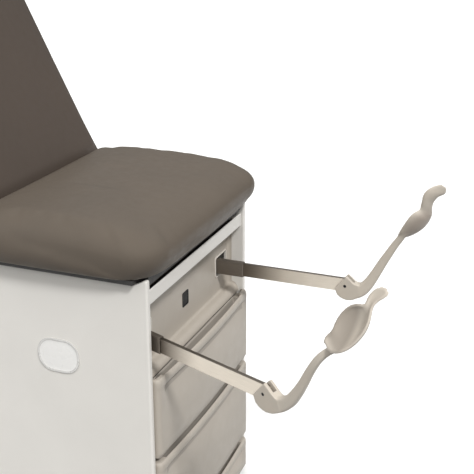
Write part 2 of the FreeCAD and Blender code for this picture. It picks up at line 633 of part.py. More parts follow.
def stirrup(side, px, swing, reach):
    def placed(obj):
        g = group(obj)
        return at(g, px, pv_y, d.bar_z, Z1, swing)

    sh, sw = d.sleeve_h / 2, d.sleeve_w / 2
    outer = fuse(box(-sw, sw, -d.sleeve_f, d.sleeve_r, -sh, sh),
                 rod_z(d.stub_r, -sh - 11.5, -sh + 1, 0, 0), rod_z(13, -sh - 4.7, -sh + 1, 0, 0),
                 rod_z(d.stub_r, sh - 1, sh + 10.5, 0, 0), rod_z(13, sh - 1, sh + 3.7, 0, 0))
    bh, bt = d.bar_h / 2, d.bar_t / 2
    g = d.fit_gap
    node("stirrup_guide_" + side, placed(cut(outer, box(-bt - g, bt + g, -d.sleeve_f - 1, d.sleeve_r + 1, -bh - g, bh + g))))
    node("stirrup_bar_" + side, placed(cut(box(-bt, bt, -reach - 10, -reach - 10 + d.bar_l, -bh, bh),
                                           rod_x(d.heel_pin_r + d.run_gap, -10, 10, -reach, 0))))
    cw = d.clevis_w / 2
    node("heel_pin_" + side, placed(rod_x(d.heel_pin_r, -cw - 0.5, cw + 0.5, -reach, 0)))

    # Heel rest: a clevis round the bar's end, an arm that dips and rises, a cup and a toe tab.
    def pts(*p):
        return [(-reach - a, b) for a, b in p]

    m = body("heel")
    s = sketch(m, "YZ_Plane")
    root = ((45, 23), (52, -9), (37, -23), (22, -32))
    limb = ((25, 6), (50, 28), (81, 79), (107, 125), (128, 158), (143, 153), (116, 111), (93, 61), (66, 7), (37, -23))
    if side == "left":
        root = ((36, 1.5), (46, -7), (44, -22), (36, -28), (22, -33))
        limb = ((25, 6), (36, 1), (54, 14), (67, 33), (82, 58), (94, 80), (105, 101), (117, 120), (129.5, 134.6), (142.7, 145.2),
                (153, 149.5), (159, 136.5), (151, 132), (140.5, 123.4), (129, 110), (119, 93), (108, 71), (98, 48), (85, 22), (70, -2), (50, -21), (37, -23))
    outline(s, pts((-26, -8), (2, 25), (25, 6), *root, (7, -36), (-10, -31), (-20, -24)))
    pad(m, s, d.clevis_w, both=True)
    s = sketch(m, "YZ_Plane")
    outline(s, pts(*limb))
    pad(m, s, d.arm_w, both=True)
    m2 = body("gap")
    s = sketch(m2, "YZ_Plane")
    outline(s, pts((-60, -17.6), (-13, -17.6), (-10, -21.5), (10, -21.5), (18, -14), (21.5, 0), (21.5, 60), (-60, 60)))
    pad(m2, s, d.bar_t + 0.9, both=True)
    fork = cut(m, m2, rod_x(d.heel_pin_r + d.run_gap, -20, 20, -reach, 0))

    # The cup is half a hollow ellipsoid. The right one's mouth faces the table and upwards,
    # the left one is turned outwards and upwards and its tab runs on along the cup's length.
    def bowl(a, b, c):
        e = doc.addObject("Part::Ellipsoid", name("bowl"))
        bind(e, "Radius1", c)
        bind(e, "Radius2", b)
        bind(e, "Radius3", a)
        e.Angle1 = -90
        e.Angle2 = 0
        if side == "left":
            e.Placement = FreeCAD.Placement(V(0, 0, 0), turn)
            return at(e, 19.3, -reach - 169.8, 185.2)
        e.Placement = FreeCAD.Placement(V(0, 0, 0), FreeCAD.Rotation(V(1, 0, 0), -56.0))
        return at(e, 0, -reach - 152, 192)

    turn = FreeCAD.Rotation(V(-0.532, -0.799, -0.278), V(0.370, -0.515, 0.773), V(-0.761, 0.309, 0.570), "ZYX")
    tab = doc.addObject("Part::Box", name("tab"))
    bind(tab, "Height", d.tab_t)
    if side == "left":
        ca, cb, cc = d.cup_al, d.cup_bl, d.cup_cl
        bind(tab, "Length", d.tab_wl)
        bind(tab, "Width", d.tab_ll)
        tab.Placement = FreeCAD.Placement(V(0, 0, 0), turn)
        at(tab, 51.5, -reach - 177.7, 220.1)
    else:
        ca, cb, cc = d.cup_a, d.cup_b, d.cup_c
        bind(tab, "Length", d.tab_w)
        bind(tab, "Width", d.tab_l)
        tab.Placement = FreeCAD.Placement(V(0, 0, 0), FreeCAD.Rotation(V(1, 0, 0), 180 - 49.0))
        at(tab, -(d.tab_w / 2), -reach - 174, 226)
    t = d.cup_t
    shell = cut(bowl(ca, cb, cc), bowl(ca - t, cb - t, cc - t))
    rest = fuse(fork, shell, tab)
    if side == "left":
        # the arm's end stays out of the hollow
        rest = cut(rest, bowl(ca - t, cb - t, cc - t))
    node("heel_rest_" + side, placed(rest))


stirrup("left", -d.stirrup_x, -d.swing_l, d.reach_l)
stirrup("right", d.stirrup_x, q(0), d.reach_r)

# ---------------------------------------------------------------- check and write
doc.recompute()
bad = [o.Name for o in doc.Objects if "Invalid" in o.State or "Error" in o.State]
if bad:
    raise RuntimeError("objects failed: %s" % bad)
os.makedirs("parts", exist_ok=True)
for label, obj in nodes:
    sh = obj.Shape
    if sh.isNull() or not sh.isValid() or not sh.Solids:
        raise RuntimeError("bad shape: " + label)
    if any(x.Volume <= 0 for x in sh.Solids):
        raise RuntimeError("empty solid: " + label)
for label, obj in nodes:
    obj.Shape.exportStep(os.path.join("parts", label + ".step"))
    bb = obj.Shape.BoundBox
    print("%-22s solids %d  x %.1f..%.1f  y %.1f..%.1f  z %.1f..%.1f" % (
        label, len(obj.Shape.Solids), bb.XMin, bb.XMax, bb.YMin, bb.YMax, bb.ZMin, bb.ZMax))
print(len(nodes), "nodes")
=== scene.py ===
import math
import bpy
import bmesh
from mathutils import Matrix, Vector


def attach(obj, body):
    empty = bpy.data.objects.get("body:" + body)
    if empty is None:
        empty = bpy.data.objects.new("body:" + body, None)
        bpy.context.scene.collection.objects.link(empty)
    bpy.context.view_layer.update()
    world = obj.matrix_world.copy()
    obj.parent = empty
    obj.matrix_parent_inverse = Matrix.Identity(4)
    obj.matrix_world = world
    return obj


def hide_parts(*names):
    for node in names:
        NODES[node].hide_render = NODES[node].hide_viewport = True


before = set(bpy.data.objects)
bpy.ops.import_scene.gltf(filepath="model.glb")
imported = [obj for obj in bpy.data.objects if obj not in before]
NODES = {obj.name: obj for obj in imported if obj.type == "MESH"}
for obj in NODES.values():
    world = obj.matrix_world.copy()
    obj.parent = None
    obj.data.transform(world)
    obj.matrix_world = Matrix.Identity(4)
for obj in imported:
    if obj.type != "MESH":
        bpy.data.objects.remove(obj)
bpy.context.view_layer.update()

# Examination table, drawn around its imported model.  Lengths below are millimetres
# in the model's own frame: Z = 0 floor, X = 0 centre plane, foot end towards -Y.

scene = bpy.context.scene
S = 0.001


# ------------------------------------------------------------------ materials
def lin(r, g, b):
    f = lambda c: c / 255 / 12.92 if c / 255 <= 0.04045 else ((c / 255 + 0.055) / 1.055) ** 2.4
    return (f(r), f(g), f(b))


def tone(c, k):
    return tuple(min(1.0, max(0.0, v * k)) for v in c) + (1.0,)


def material(name, srgb, rough=0.5, metal=0.0, spec=0.5, tint=0.05, tint_scale=6.0, rough_var=0.07,
             grain=(800.0, 0.06), cells=None, brush=None, wear=0.0, coat=0.0, coat_rough=0.25,
             sheen=0.0, warm=0.0, dents=None):
    """Procedural surface: mottled colour, roughness variation, fine grain, optional cells or brushing."""
    m = bpy.data.materials.new(name)
    m.use_nodes = True
    nt = m.node_tree
    nt.nodes.clear()
    new, link = nt.nodes.new, nt.links.new
    out = new("ShaderNodeOutputMaterial")
    bs = new("ShaderNodeBsdfPrincipled")
    link(bs.outputs[0], out.inputs[0])
    bs.inputs["Metallic"].default_value = metal
    bs.inputs["Specular IOR Level"].default_value = spec
    if coat:
        bs.inputs["Coat Weight"].default_value = coat
        bs.inputs["Coat Roughness"].default_value = coat_rough
    if sheen:
        bs.inputs["Sheen Weight"].default_value = sheen
        bs.inputs["Sheen Roughness"].default_value = 0.45
    tc = new("ShaderNodeTexCoord")
    vec = tc.outputs["Object"]
    base = lin(*srgb)
    big = new("ShaderNodeTexNoise")
    big.inputs["Scale"].default_value = tint_scale
    big.inputs["Detail"].default_value = 5.0
    big.inputs["Roughness"].default_value = 0.55
    link(vec, big.inputs["Vector"])
    ramp = new("ShaderNodeValToRGB")
    ramp.color_ramp.elements[0].position = 0.28
    ramp.color_ramp.elements[1].position = 0.72
    ramp.color_ramp.elements[0].color = tone(base, 1 - tint)
    w = (base[0] * (1 + warm), base[1], base[2] * (1 - warm))
    ramp.color_ramp.elements[1].color = tone(w, 1 + tint)
    link(big.outputs[0], ramp.inputs[0])
    col = ramp.outputs[0]
    mid = new("ShaderNodeTexNoise")
    mid.inputs["Scale"].default_value = 42.0
    mid.inputs["Detail"].default_value = 6.0
    link(vec, mid.inputs["Vector"])
    rr = new("ShaderNodeMapRange")
    rr.inputs["From Min"].default_value = 0.25
    rr.inputs["From Max"].default_value = 0.75
    rr.inputs["To Min"].default_value = max(0.02, rough - rough_var)
    rr.inputs["To Max"].default_value = min(1.0, rough + rough_var)
    link(mid.outputs[0], rr.inputs["Value"])
    height = None
    if brush:
        # long fine scratches along the piece's own Y axis
        mp = new("ShaderNodeMapping")
        mp.inputs["Scale"].default_value = (1.0, 0.012, 1.0)
        link(vec, mp.inputs["Vector"])
        bn = new("ShaderNodeTexNoise")
        bn.inputs["Scale"].default_value = brush[0]
        bn.inputs["Detail"].default_value = 4.0
        link(mp.outputs[0], bn.inputs["Vector"])
        mixb = new("ShaderNodeMix")
        mixb.data_type = "RGBA"
        mixb.blend_type = "MULTIPLY"
        rb = new("ShaderNodeValToRGB")
        rb.color_ramp.elements[0].position = 0.3
        rb.color_ramp.elements[1].position = 0.7
        rb.color_ramp.elements[0].color = (1 - brush[1],) * 3 + (1,)
        rb.color_ramp.elements[1].color = (1, 1, 1, 1)
        link(bn.outputs[0], rb.inputs[0])
        mixb.inputs["Factor"].default_value = 1.0
        link(col, mixb.inputs[6])
        link(rb.outputs[0], mixb.inputs[7])
        col = mixb.outputs[2]
        height = bn.outputs[0]
        hs, hd = brush[2], 0.00015
    elif cells:
        # pebbled upholstery grain: rounded cells with a finer noise in them
        vo = new("ShaderNodeTexVoronoi")
        vo.feature = "SMOOTH_F1"
        vo.inputs["Scale"].default_value = cells[0]
        vo.inputs["Smoothness"].default_value = 0.6
        link(vec, vo.inputs["Vector"])
        fn = new("ShaderNodeTexNoise")
        fn.inputs["Scale"].default_value = cells[0] * 1.9
        fn.inputs["Detail"].default_value = 3.0
        link(vec, fn.inputs["Vector"])
        ad = new("ShaderNodeMath")
        ad.operation = "ADD"
        link(vo.outputs["Distance"], ad.inputs[0])
        link(fn.outputs[0], ad.inputs[1])
        height = ad.outputs[0]
        hs, hd = cells[1], 0.0003
    else:
        fn = new("ShaderNodeTexNoise")
        fn.inputs["Scale"].default_value = grain[0]
        fn.inputs["Detail"].default_value = 3.0
        link(vec, fn.inputs["Vector"])
        height = fn.outputs[0]
        hs, hd = grain[1], 0.0004
    bump = new("ShaderNodeBump")
    bump.inputs["Strength"].default_value = hs
    bump.inputs["Distance"].default_value = hd
    link(height, bump.inputs["Height"])
    normal = bump.outputs[0]
    if dents:
        dn = new("ShaderNodeTexNoise")
        dn.inputs["Scale"].default_value = dents[0]
        dn.inputs["Detail"].default_value = 2.0
        link(vec, dn.inputs["Vector"])
        b2 = new("ShaderNodeBump")
        b2.inputs["Strength"].default_value = dents[1]
        b2.inputs["Distance"].default_value = 0.004
        link(dn.outputs[0], b2.inputs["Height"])
        link(normal, b2.inputs["Normal"])
        normal = b2.outputs[0]
    if wear:
        ge = new("ShaderNodeNewGeometry")
        pr = new("ShaderNodeMapRange")
        pr.inputs["From Min"].default_value = 0.515
        pr.inputs["From Max"].default_value = 0.60
        pr.inputs["To Min"].default_value = 0.0
        pr.inputs["To Max"].default_value = wear
        link(ge.outputs["Pointiness"], pr.inputs["Value"])
        mw = new("ShaderNodeMix")
        mw.data_type = "RGBA"
        link(pr.outputs[0], mw.inputs["Factor"])
        link(col, mw.inputs[6])
        mw.inputs[7].default_value = tone(tuple(0.5 * v + 0.5 for v in base), 1.0)
        col = mw.outputs[2]
    link(col, bs.inputs["Base Color"])
    link(rr.outputs[0], bs.inputs["Roughness"])
    link(normal, bs.inputs["Normal"])
    return m


M = {
    "panel_paint": material("panel_paint", (232, 229, 223), rough=0.42, tint=0.025, grain=(900, 0.10), wear=0.15, spec=0.45),
    "front_plastic": material("front_plastic", (182, 174, 163), rough=0.46, tint=0.03, grain=(1300, 0.10), wear=0.12, spec=0.4),
    # darker copy of the front plastic for the finger troughs: painted shade
    "trough_shade_plastic": material("trough_shade_plastic", (166, 159, 150), rough=0.6, tint=0.05, grain=(900, 0.15), spec=0.25),
    "bezel_plastic": material("bezel_plastic", (205, 199, 190), rough=0.40, tint=0.03, grain=(1400, 0.08), wear=0.2),
    "drawer_plastic": material("drawer_plastic", (206, 202, 196), rough=0.5, tint=0.03, grain=(900, 0.08)),
    "plate_plastic": material("plate_plastic", (244, 243, 240), rough=0.28, tint=0.015, grain=(700, 0.03), coat=0.2),
    "plate_rim": material("plate_rim", (205, 204, 201), rough=0.3, metal=0.35, tint=0.03, grain=(900, 0.04)),
    "black_plastic": material("black_plastic", (11, 12, 12), rough=0.55, tint=0.12, grain=(1300, 0.12), wear=0.05, spec=0.22),
    "black_rubber": material("black_rubber", (30, 29, 28), rough=0.75, tint=0.15, grain=(700, 0.25), wear=0.06),
    "black_board": material("black_board", (26, 24, 23), rough=0.6, tint=0.18, grain=(300, 0.18), wear=0.07),
    "dark_metal": material("dark_metal", (58, 56, 53), rough=0.5, tint=0.08, grain=(800, 0.15), wear=0.12),
    "black_metal": material("black_metal", (22, 22, 22), rough=0.38, tint=0.1, grain=(900, 0.1), wear=0.15),
    "runner_steel": material("runner_steel", (172, 170, 166), rough=0.34, metal=0.9, tint=0.06, brush=(1600, 0.2, 0.12)),
    "pin_steel": material("pin_steel", (180, 178, 174), rough=0.3, metal=0.95, tint=0.06, brush=(2200, 0.16, 0.1)),
    "rod_chrome": material("rod_chrome", (220, 220, 220), rough=0.1, metal=1.0, tint=0.03, rough_var=0.03, grain=(1500, 0.02)),
    "bar_steel": material("bar_steel", (215, 206, 193), rough=0.36, metal=0.85, tint=0.035, brush=(1900, 0.16, 0.14), rough_var=0.05),
    "sleeve_steel": material("sleeve_steel", (112, 103, 93), rough=0.5, metal=0.6, tint=0.06, brush=(1500, 0.2, 0.15), wear=0.15),
    "heel_left": material("heel_left", (195, 187, 175), rough=0.44, tint=0.035, tint_scale=14, grain=(1500, 0.09), wear=0.15, warm=0.02),
    "heel_right": material("heel_right", (195, 187, 175), rough=0.44, tint=0.035, tint_scale=14, grain=(1500, 0.09), wear=0.15, warm=0.02),
    "vinyl": material("vinyl", (97, 89, 80), rough=0.46, tint=0.045, tint_scale=5, cells=(950, 0.12), spec=0.16, warm=0.015, dents=(7.0, 0.03)),
    # darker copy of the seat vinyl for the backrest: painted shade
    "vinyl_back_shade": material("vinyl_back_shade", (80, 71, 64), rough=0.5, tint=0.05, tint_scale=4, cells=(950, 0.12), spec=0.38, warm=0.015, dents=(7.0, 0.03)),
}


def paint_bar_shade(m):
    """Bar stock: painted shade; the top and bottom faces are darkened, and so is the length that runs back towards the
    sleeve.
    """
    nt = m.node_tree
    new, link = nt.nodes.new, nt.links.new
    bs = next(n for n in nt.nodes if n.type == "BSDF_PRINCIPLED")
    src = bs.inputs["Base Color"].links[0].from_socket
    tc = new("ShaderNodeTexCoord")
    sp = new("ShaderNodeSeparateXYZ")
    link(tc.outputs["Object"], sp.inputs[0])
    ru = new("ShaderNodeMapRange")
    ru.interpolation_type = "SMOOTHSTEP"
    ru.inputs["From Min"].default_value = -0.165
    ru.inputs["From Max"].default_value = -0.295
    ru.inputs["To Min"].default_value = 0.86
    ru.inputs["To Max"].default_value = 0.0
    link(sp.outputs["Y"], ru.inputs["Value"])
    sn = new("ShaderNodeSeparateXYZ")
    link(tc.outputs["Normal"], sn.inputs[0])
    ab = new("ShaderNodeMath")
    ab.operation = "ABSOLUTE"
    link(sn.outputs["Z"], ab.inputs[0])
    ed = new("ShaderNodeMapRange")
    ed.inputs["From Min"].default_value = 0.55
    ed.inputs["From Max"].default_value = 0.95
    ed.inputs["To Min"].default_value = 0.0
    ed.inputs["To Max"].default_value = 0.75
    link(ab.outputs[0], ed.inputs["Value"])
    mx = new("ShaderNodeMath")
    mx.operation = "MAXIMUM"
    link(ru.outputs[0], mx.inputs[0])
    link(ed.outputs[0], mx.inputs[1])
    mi = new("ShaderNodeMix")
    mi.data_type = "RGBA"
    link(mx.outputs[0], mi.inputs["Factor"])
    link(src, mi.inputs[6])
    mi.inputs[7].default_value = lin(74, 64, 54) + (1.0,)
    link(mi.outputs[2], bs.inputs["Base Color"])


# painted shade on the stirrup bars: darker top and bottom faces and a darker length nearest the sleeve
paint_bar_shade(M["bar_steel"])


def paint_cup_shade(m, org, mouth, d0, d1, rgb):
    """Heel cup: painted shade in the bowl; the moulding darkens past a plane through the cup and within about 40-58 mm
    of its centre.
    """
    nt = m.node_tree
    new, link = nt.nodes.new, nt.links.new
    bs = next(n for n in nt.nodes if n.type == "BSDF_PRINCIPLED")
    src = bs.inputs["Base Color"].links[0].from_socket
    tc = new("ShaderNodeTexCoord")
    su = new("ShaderNodeVectorMath")
    su.operation = "SUBTRACT"
    su.inputs[1].default_value = org
    link(tc.outputs["Object"], su.inputs[0])
    do = new("ShaderNodeVectorMath")
    do.operation = "DOT_PRODUCT"
    do.inputs[1].default_value = mouth
    link(su.outputs[0], do.inputs[0])
    deep = new("ShaderNodeMapRange")
    deep.interpolation_type = "SMOOTHSTEP"
    deep.inputs["From Min"].default_value = d0
    deep.inputs["From Max"].default_value = d1
    deep.inputs["To Min"].default_value = 0.0
    deep.inputs["To Max"].default_value = 1.0
    link(do.outputs["Value"], deep.inputs["Value"])
    ln = new("ShaderNodeVectorMath")
    ln.operation = "LENGTH"
    link(su.outputs[0], ln.inputs[0])
    near = new("ShaderNodeMapRange")
    near.interpolation_type = "SMOOTHSTEP"
    near.inputs["From Min"].default_value = 0.058
    near.inputs["From Max"].default_value = 0.038
    near.inputs["To Min"].default_value = 0.0
    near.inputs["To Max"].default_value = 1.0
    link(ln.outputs["Value"], near.inputs["Value"])
    mu = new("ShaderNodeMath")
    mu.operation = "MULTIPLY"
    link(deep.outputs[0], mu.inputs[0])
    link(near.outputs[0], mu.inputs[1])
    mi = new("ShaderNodeMix")
    mi.data_type = "RGBA"
    link(mu.outputs[0], mi.inputs["Factor"])
    link(src, mi.inputs[6])
    mi.inputs[7].default_value = lin(*rgb) + (1.0,)
    link(mi.outputs[2], bs.inputs["Base Color"])


# painted shade: each cup darkens beyond a set plane through its bowl, the left one towards one side of the bowl, the
# right one with depth
paint_cup_shade(M["heel_left"], (0.0193, -0.464 - 0.1698, 0.1852), (-0.230, -0.950, 0.208), 0.016, -0.004, (160, 151, 140))
paint_cup_shade(M["heel_right"], (0.0088, -0.434 - 0.1609, 0.1844), (0.588, 0.647, 0.485), 0.0, -0.018, (166, 155, 144))


# ------------------------------------------------------------------ mesh tools
def make(name, verts, faces, mat, sharp=None, smooth=True, scale=S):
    me = bpy.data.meshes.new(name)
    me.from_pydata([(x * scale, y * scale, z * scale) for x, y, z in verts], [], faces)
    bm = bmesh.new()
    bm.from_mesh(me)
    bmesh.ops.remove_doubles(bm, verts=bm.verts, dist=1e-6)
    bmesh.ops.recalc_face_normals(bm, faces=bm.faces)
    bm.to_mesh(me)
    bm.free()
    for p in me.polygons:
        p.use_smooth = smooth
    if sharp:
        me.set_sharp_from_angle(angle=math.radians(sharp))
    ob = bpy.data.objects.new(name, me)
    scene.collection.objects.link(ob)
    if mat:
        me.materials.append(M[mat])
    return ob


def flatten(ob):
    """Turns an object's modifiers into its mesh."""
    bpy.context.view_layer.update()
    dg = bpy.context.evaluated_depsgraph_get()
    me = bpy.data.meshes.new_from_object(ob.evaluated_get(dg))
    old = ob.data
    ob.modifiers.clear()
    ob.data = me
    if old.users == 0:
        bpy.data.meshes.remove(old)
    return ob


def tidy(ob, sharp=None):
    for p in ob.data.polygons:
        p.use_smooth = True
    if sharp:
        ob.data.set_sharp_from_angle(angle=math.radians(sharp))
    return ob


def weigh(ob):
    md = ob.modifiers.new("flat", "WEIGHTED_NORMAL")
    md.keep_sharp = True
    md.weight = 80
    return ob


def loft(rings, cap0=True, cap1=True, closed=True):
    n = len(rings[0])
    verts = [p for r in rings for p in r]
    faces = []
    for i in range(len(rings) - 1):
        for j in range(n if closed else n - 1):
            k = (j + 1) % n
            faces.append((i * n + j, i * n + k, (i + 1) * n + k, (i + 1) * n + j))
    if cap0:
        faces.append(tuple(range(n - 1, -1, -1)))
    if cap1:
        b = (len(rings) - 1) * n
        faces.append(tuple(range(b, b + n)))
    return verts, faces


def join(*parts):
    verts, faces = [], []
    for v, f in parts:
        o = len(verts)
        verts += v
        faces += [tuple(i + o for i in q) for q in f]
    return verts, faces


def block(x0, x1, y0, y1, z0, z1, r, seg=3):
    """Box with rounded edges."""
    bm = bmesh.new()
    bmesh.ops.create_cube(bm, size=1.0)
    for v in bm.verts:
        v.co = Vector((x1 if v.co.x > 0 else x0, y1 if v.co.y > 0 else y0, z1 if v.co.z > 0 else z0))
    bmesh.ops.bevel(bm, geom=list(bm.edges), offset=r, segments=seg, profile=0.5, affect="EDGES")
    bm.verts.index_update()
    v = [tuple(p.co) for p in bm.verts]
    f = [tuple(p.index for p in q.verts) for q in bm.faces]
    bm.free()
    return v, f


def spin(profile, axis, centre, seg=32):
    """Turned piece: (distance along the axis, radius) points about an axis through a centre."""
    rings = []
    for d, r in profile:
        ring = []
        for i in range(seg):
            a = 2 * math.pi * i / seg
            p = [r * math.cos(a), r * math.sin(a)]
            if axis == "X":
                q = (d, p[0], p[1])
            elif axis == "Y":
                q = (p[0], d, p[1])
            else:
                q = (p[0], p[1], d)
            ring.append(tuple(q[k] + centre[k] for k in range(3)))
        rings.append(ring)
    return loft(rings)


def rrect(x0, x1, y0, y1, radii, nc=8, ne=0):
    """Rounded rectangle, anticlockwise; radii for the corners (x1,y0) (x1,y1) (x0,y1) (x0,y0)."""
    r1, r2, r3, r4 = radii
    cs = [(x1 - r1, y0 + r1, r1, -90), (x1 - r2, y1 - r2, r2, 0), (x0 + r3, y1 - r3, r3, 90), (x0 + r4, y0 + r4, r4, 180)]
    pts = []
    for cx, cy, r, a0 in cs:
        for i in range(nc + 1):
            a = math.radians(a0 + 90 * i / nc)
            pts.append((cx + r * math.cos(a), cy + r * math.sin(a)))
    if ne:
        out = []
        n = len(pts)
        for i, p in enumerate(pts):
            out.append(p)
            if i % (nc + 1) == nc:
                q = pts[(i + 1) % n]
                for k in range(1, ne + 1):
                    t = k / (ne + 1)
                    out.append((p[0] + (q[0] - p[0]) * t, p[1] + (q[1] - p[1]) * t))
        pts = out
    return pts


def spline(pts, step):
    """Smooth run of points (any width) through the given ones."""
    out = []
    n = len(pts)
    for i in range(n - 1):
        p0, p1, p2, p3 = pts[max(0, i - 1)], pts[i], pts[i + 1], pts[min(n - 1, i + 2)]
        d = math.dist(p1[:2], p2[:2])
        k = max(1, int(round(d / step)))
        for j in range(k):
            t = j / k
            out.append(tuple(0.5 * (2 * b + (c - a) * t + (2 * a - 5 * b + 4 * c - e) * t * t + (3 * b - a - 3 * c + e) * t ** 3)
                             for a, b, c, e in zip(p0, p1, p2, p3)))
    out.append(tuple(pts[-1]))
    return out


def cut(ob, parts, solver="EXACT"):
    """Boolean difference with plain closed meshes given in the object's own millimetres."""
    tool = make("cutter", *parts, mat=None)
    tool.matrix_world = ob.matrix_world.copy()
    md = ob.modifiers.new("cut", "BOOLEAN")
    md.operation = "DIFFERENCE"
    md.solver = solver
    md.object = tool
    flatten(ob)
    me = tool.data
    bpy.data.objects.remove(tool)
    bpy.data.meshes.remove(me)
    return ob


def put(ob, body, slot, *nodes):
    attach(ob, body)
    if nodes:
        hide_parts(*nodes)
    return ob


def dress(node, slot, bevel=0.0):
    """Finish of a node that is shown as packed."""
    ob = NODES[node]
    ob.data.materials.clear()
    ob.data.materials.append(M[slot])
    if bevel:
        md = ob.modifiers.new("soft", "BEVEL")
        md.width = bevel * S
        md.segments = 2
        md.limit_method = "ANGLE"
        md.angle_limit = math.radians(50)
        weigh(ob)


# ------------------------------------------------------------------ camera, light, floor
cam = bpy.data.cameras.new("camera")
cam.lens = 75.19
cam.sensor_width = 36.0
cam_ob = bpy.data.objects.new("camera", cam)
cam_ob.location = (-1.9547, -1.3700, 1.5838)
cam_ob.rotation_euler = (math.radians(69.51), 0.0, math.radians(-68.69))
scene.collection.objects.link(cam_ob)
scene.camera = cam_ob

world = bpy.data.worlds.new("studio")
world.use_nodes = True
scene.world = world
bg = world.node_tree.nodes["Background"]
bg.inputs[0].default_value = (1.0, 0.995, 0.985, 1.0)
# bright overhead and to the left, dimmer towards the ground and the right
wt = world.node_tree
wc = wt.nodes.new("ShaderNodeTexCoord")
ws = wt.nodes.new("ShaderNodeVectorMath")
ws.operation = "DOT_PRODUCT"
ws.inputs[1].default_value = (-0.20, 0.10, 0.97)
wm = wt.nodes.new("ShaderNodeMapRange")
wm.interpolation_type = "SMOOTHSTEP"
wm.inputs["From Min"].default_value = -0.28
wm.inputs["From Max"].default_value = 0.82
wm.inputs["To Min"].default_value = 0.16
wm.inputs["To Max"].default_value = 0.84
wt.links.new(wc.outputs["Generated"], ws.inputs[0])
wt.links.new(ws.outputs["Value"], wm.inputs["Value"])
wt.links.new(wm.outputs[0], bg.inputs[1])


def sky(name, towards, strength, spread, gloss=True):
    li = bpy.data.lights.new(name, "SUN")
    li.energy = strength
    li.angle = math.radians(spread)
    ob = bpy.data.objects.new(name, li)
    ob.rotation_euler = (-Vector(towards)).to_track_quat("-Z", "Y").to_euler()
    ob.visible_glossy = gloss
    scene.collection.objects.link(ob)


sky("key", (-0.43, -0.52, 0.74), 2.20, 10, gloss=False)
sky("soft", (-0.50, 0.10, 0.86), 0.50, 60, gloss=False)

fl = bpy.data.meshes.new("floor")
fl.from_pydata([(-14, -14, 0), (14, -14, 0), (14, 14, 0), (-14, 14, 0)], [], [(0, 1, 2, 3)])
floor = bpy.data.objects.new("floor", fl)
scene.collection.objects.link(floor)
fm = material("floor_paper", (250, 250, 249), rough=0.9, tint=0.006, tint_scale=1.5, grain=(200, 0.02), spec=0.1)
fl.materials.append(fm)
floor.visible_diffuse = False
scene.view_settings.view_transform = "Standard"
scene.view_settings.look = "None"
scene.cycles.use_denoising = True


# ------------------------------------------------------------------ side panels
def side_panel(name, node, xo, xi):
    """Panel with a rounded front edge and a horn that sweeps up at the front top corner."""
    horn = [(-472, 775.0), (-480, 775.3), (-487, 776.2), (-494, 778.0), (-500, 780.6), (-505, 783.4), (-509.5, 786.0),
            (-513, 787.5), (-516, 787.9), (-518.4, 787.0), (-519.7, 785.0), (-520, 782.5)]
    pts = [(516.5, 8.0), (518.9, 9.0), (520, 11.5), (520, 400), (520, 771.5), (518.9, 774), (516.5, 775), (250, 775), (0, 775), (-250, 775)] + horn
    pts += [(-520, 700), (-520, 400), (-520, 100), (-520, 11.5), (-518.9, 9.0), (-516.5, 8.0), (-250, 8), (0, 8), (250, 8)]

    def inset(y, z, k, front):
        ny, nz = y, z
        if y < -516:
            ny = y + front * k
        elif y > 516:
            ny = y - 1.4 * k
        if z > 770:
            nz = z - 1.6 * k
        elif z < 10:
            nz = z + 1.2 * k
        return ny, nz

    rings = []
    sgn = 1 if xi > xo else -1
    for face, r, order in ((xo, 5.0, 1), (xi, 3.0, -1)):
        seq = []
        for i in range(6):
            a = math.radians(90 * i / 5)
            x = face + order * sgn * r * (1 - math.cos(a))
            k = 1 - math.sin(a)
            seq.append([(x,) + inset(y, z, k, r) for y, z in pts])
        rings += seq if order > 0 else seq[::-1]
    ob = make(name, *loft(rings), mat="panel_paint", sharp=50)
    weigh(ob)
    put(ob, "cabinet", "panel_paint", node)
    return ob


side_panel("panel_left_skin", "side_panel_left", -284.0, -270.0)
side_panel("panel_right_skin", "side_panel_right", 284.0, 270.0)

# ------------------------------------------------------------------ name plate, left blank
rings = []
for o, x, in ((0.0, -284.0), (0.0, -285.5), (0.5, -286.1), (1.5, -286.5), (3.2, -286.5), (4.4, -286.2), (5.2, -285.5), (5.6, -285.2), (6.4, -285.1), (14, -285.25), (26, -285.4)):
    r = max(37 - o, 8)
    rings.append([(x, y, z) for y, z in rrect(-350 + o, -246 - o, 538 + o, 620 - o, (r,) * 4, nc=12, ne=2)])
ob = make("blank_plate", *loft(rings), mat="plate_plastic", sharp=60)
ob.data.materials.append(M["plate_rim"])
for p in ob.data.polygons:
    c = p.center
    dy, dz = abs(c.y + 0.298), abs(c.z - 0.579)
    q = math.hypot(max(0.0, dy - 0.015), max(0.0, dz - 0.004))
    if q > 0.0315:
        p.material_index = 1
put(ob, "cabinet", "plate_plastic", "name_plate")


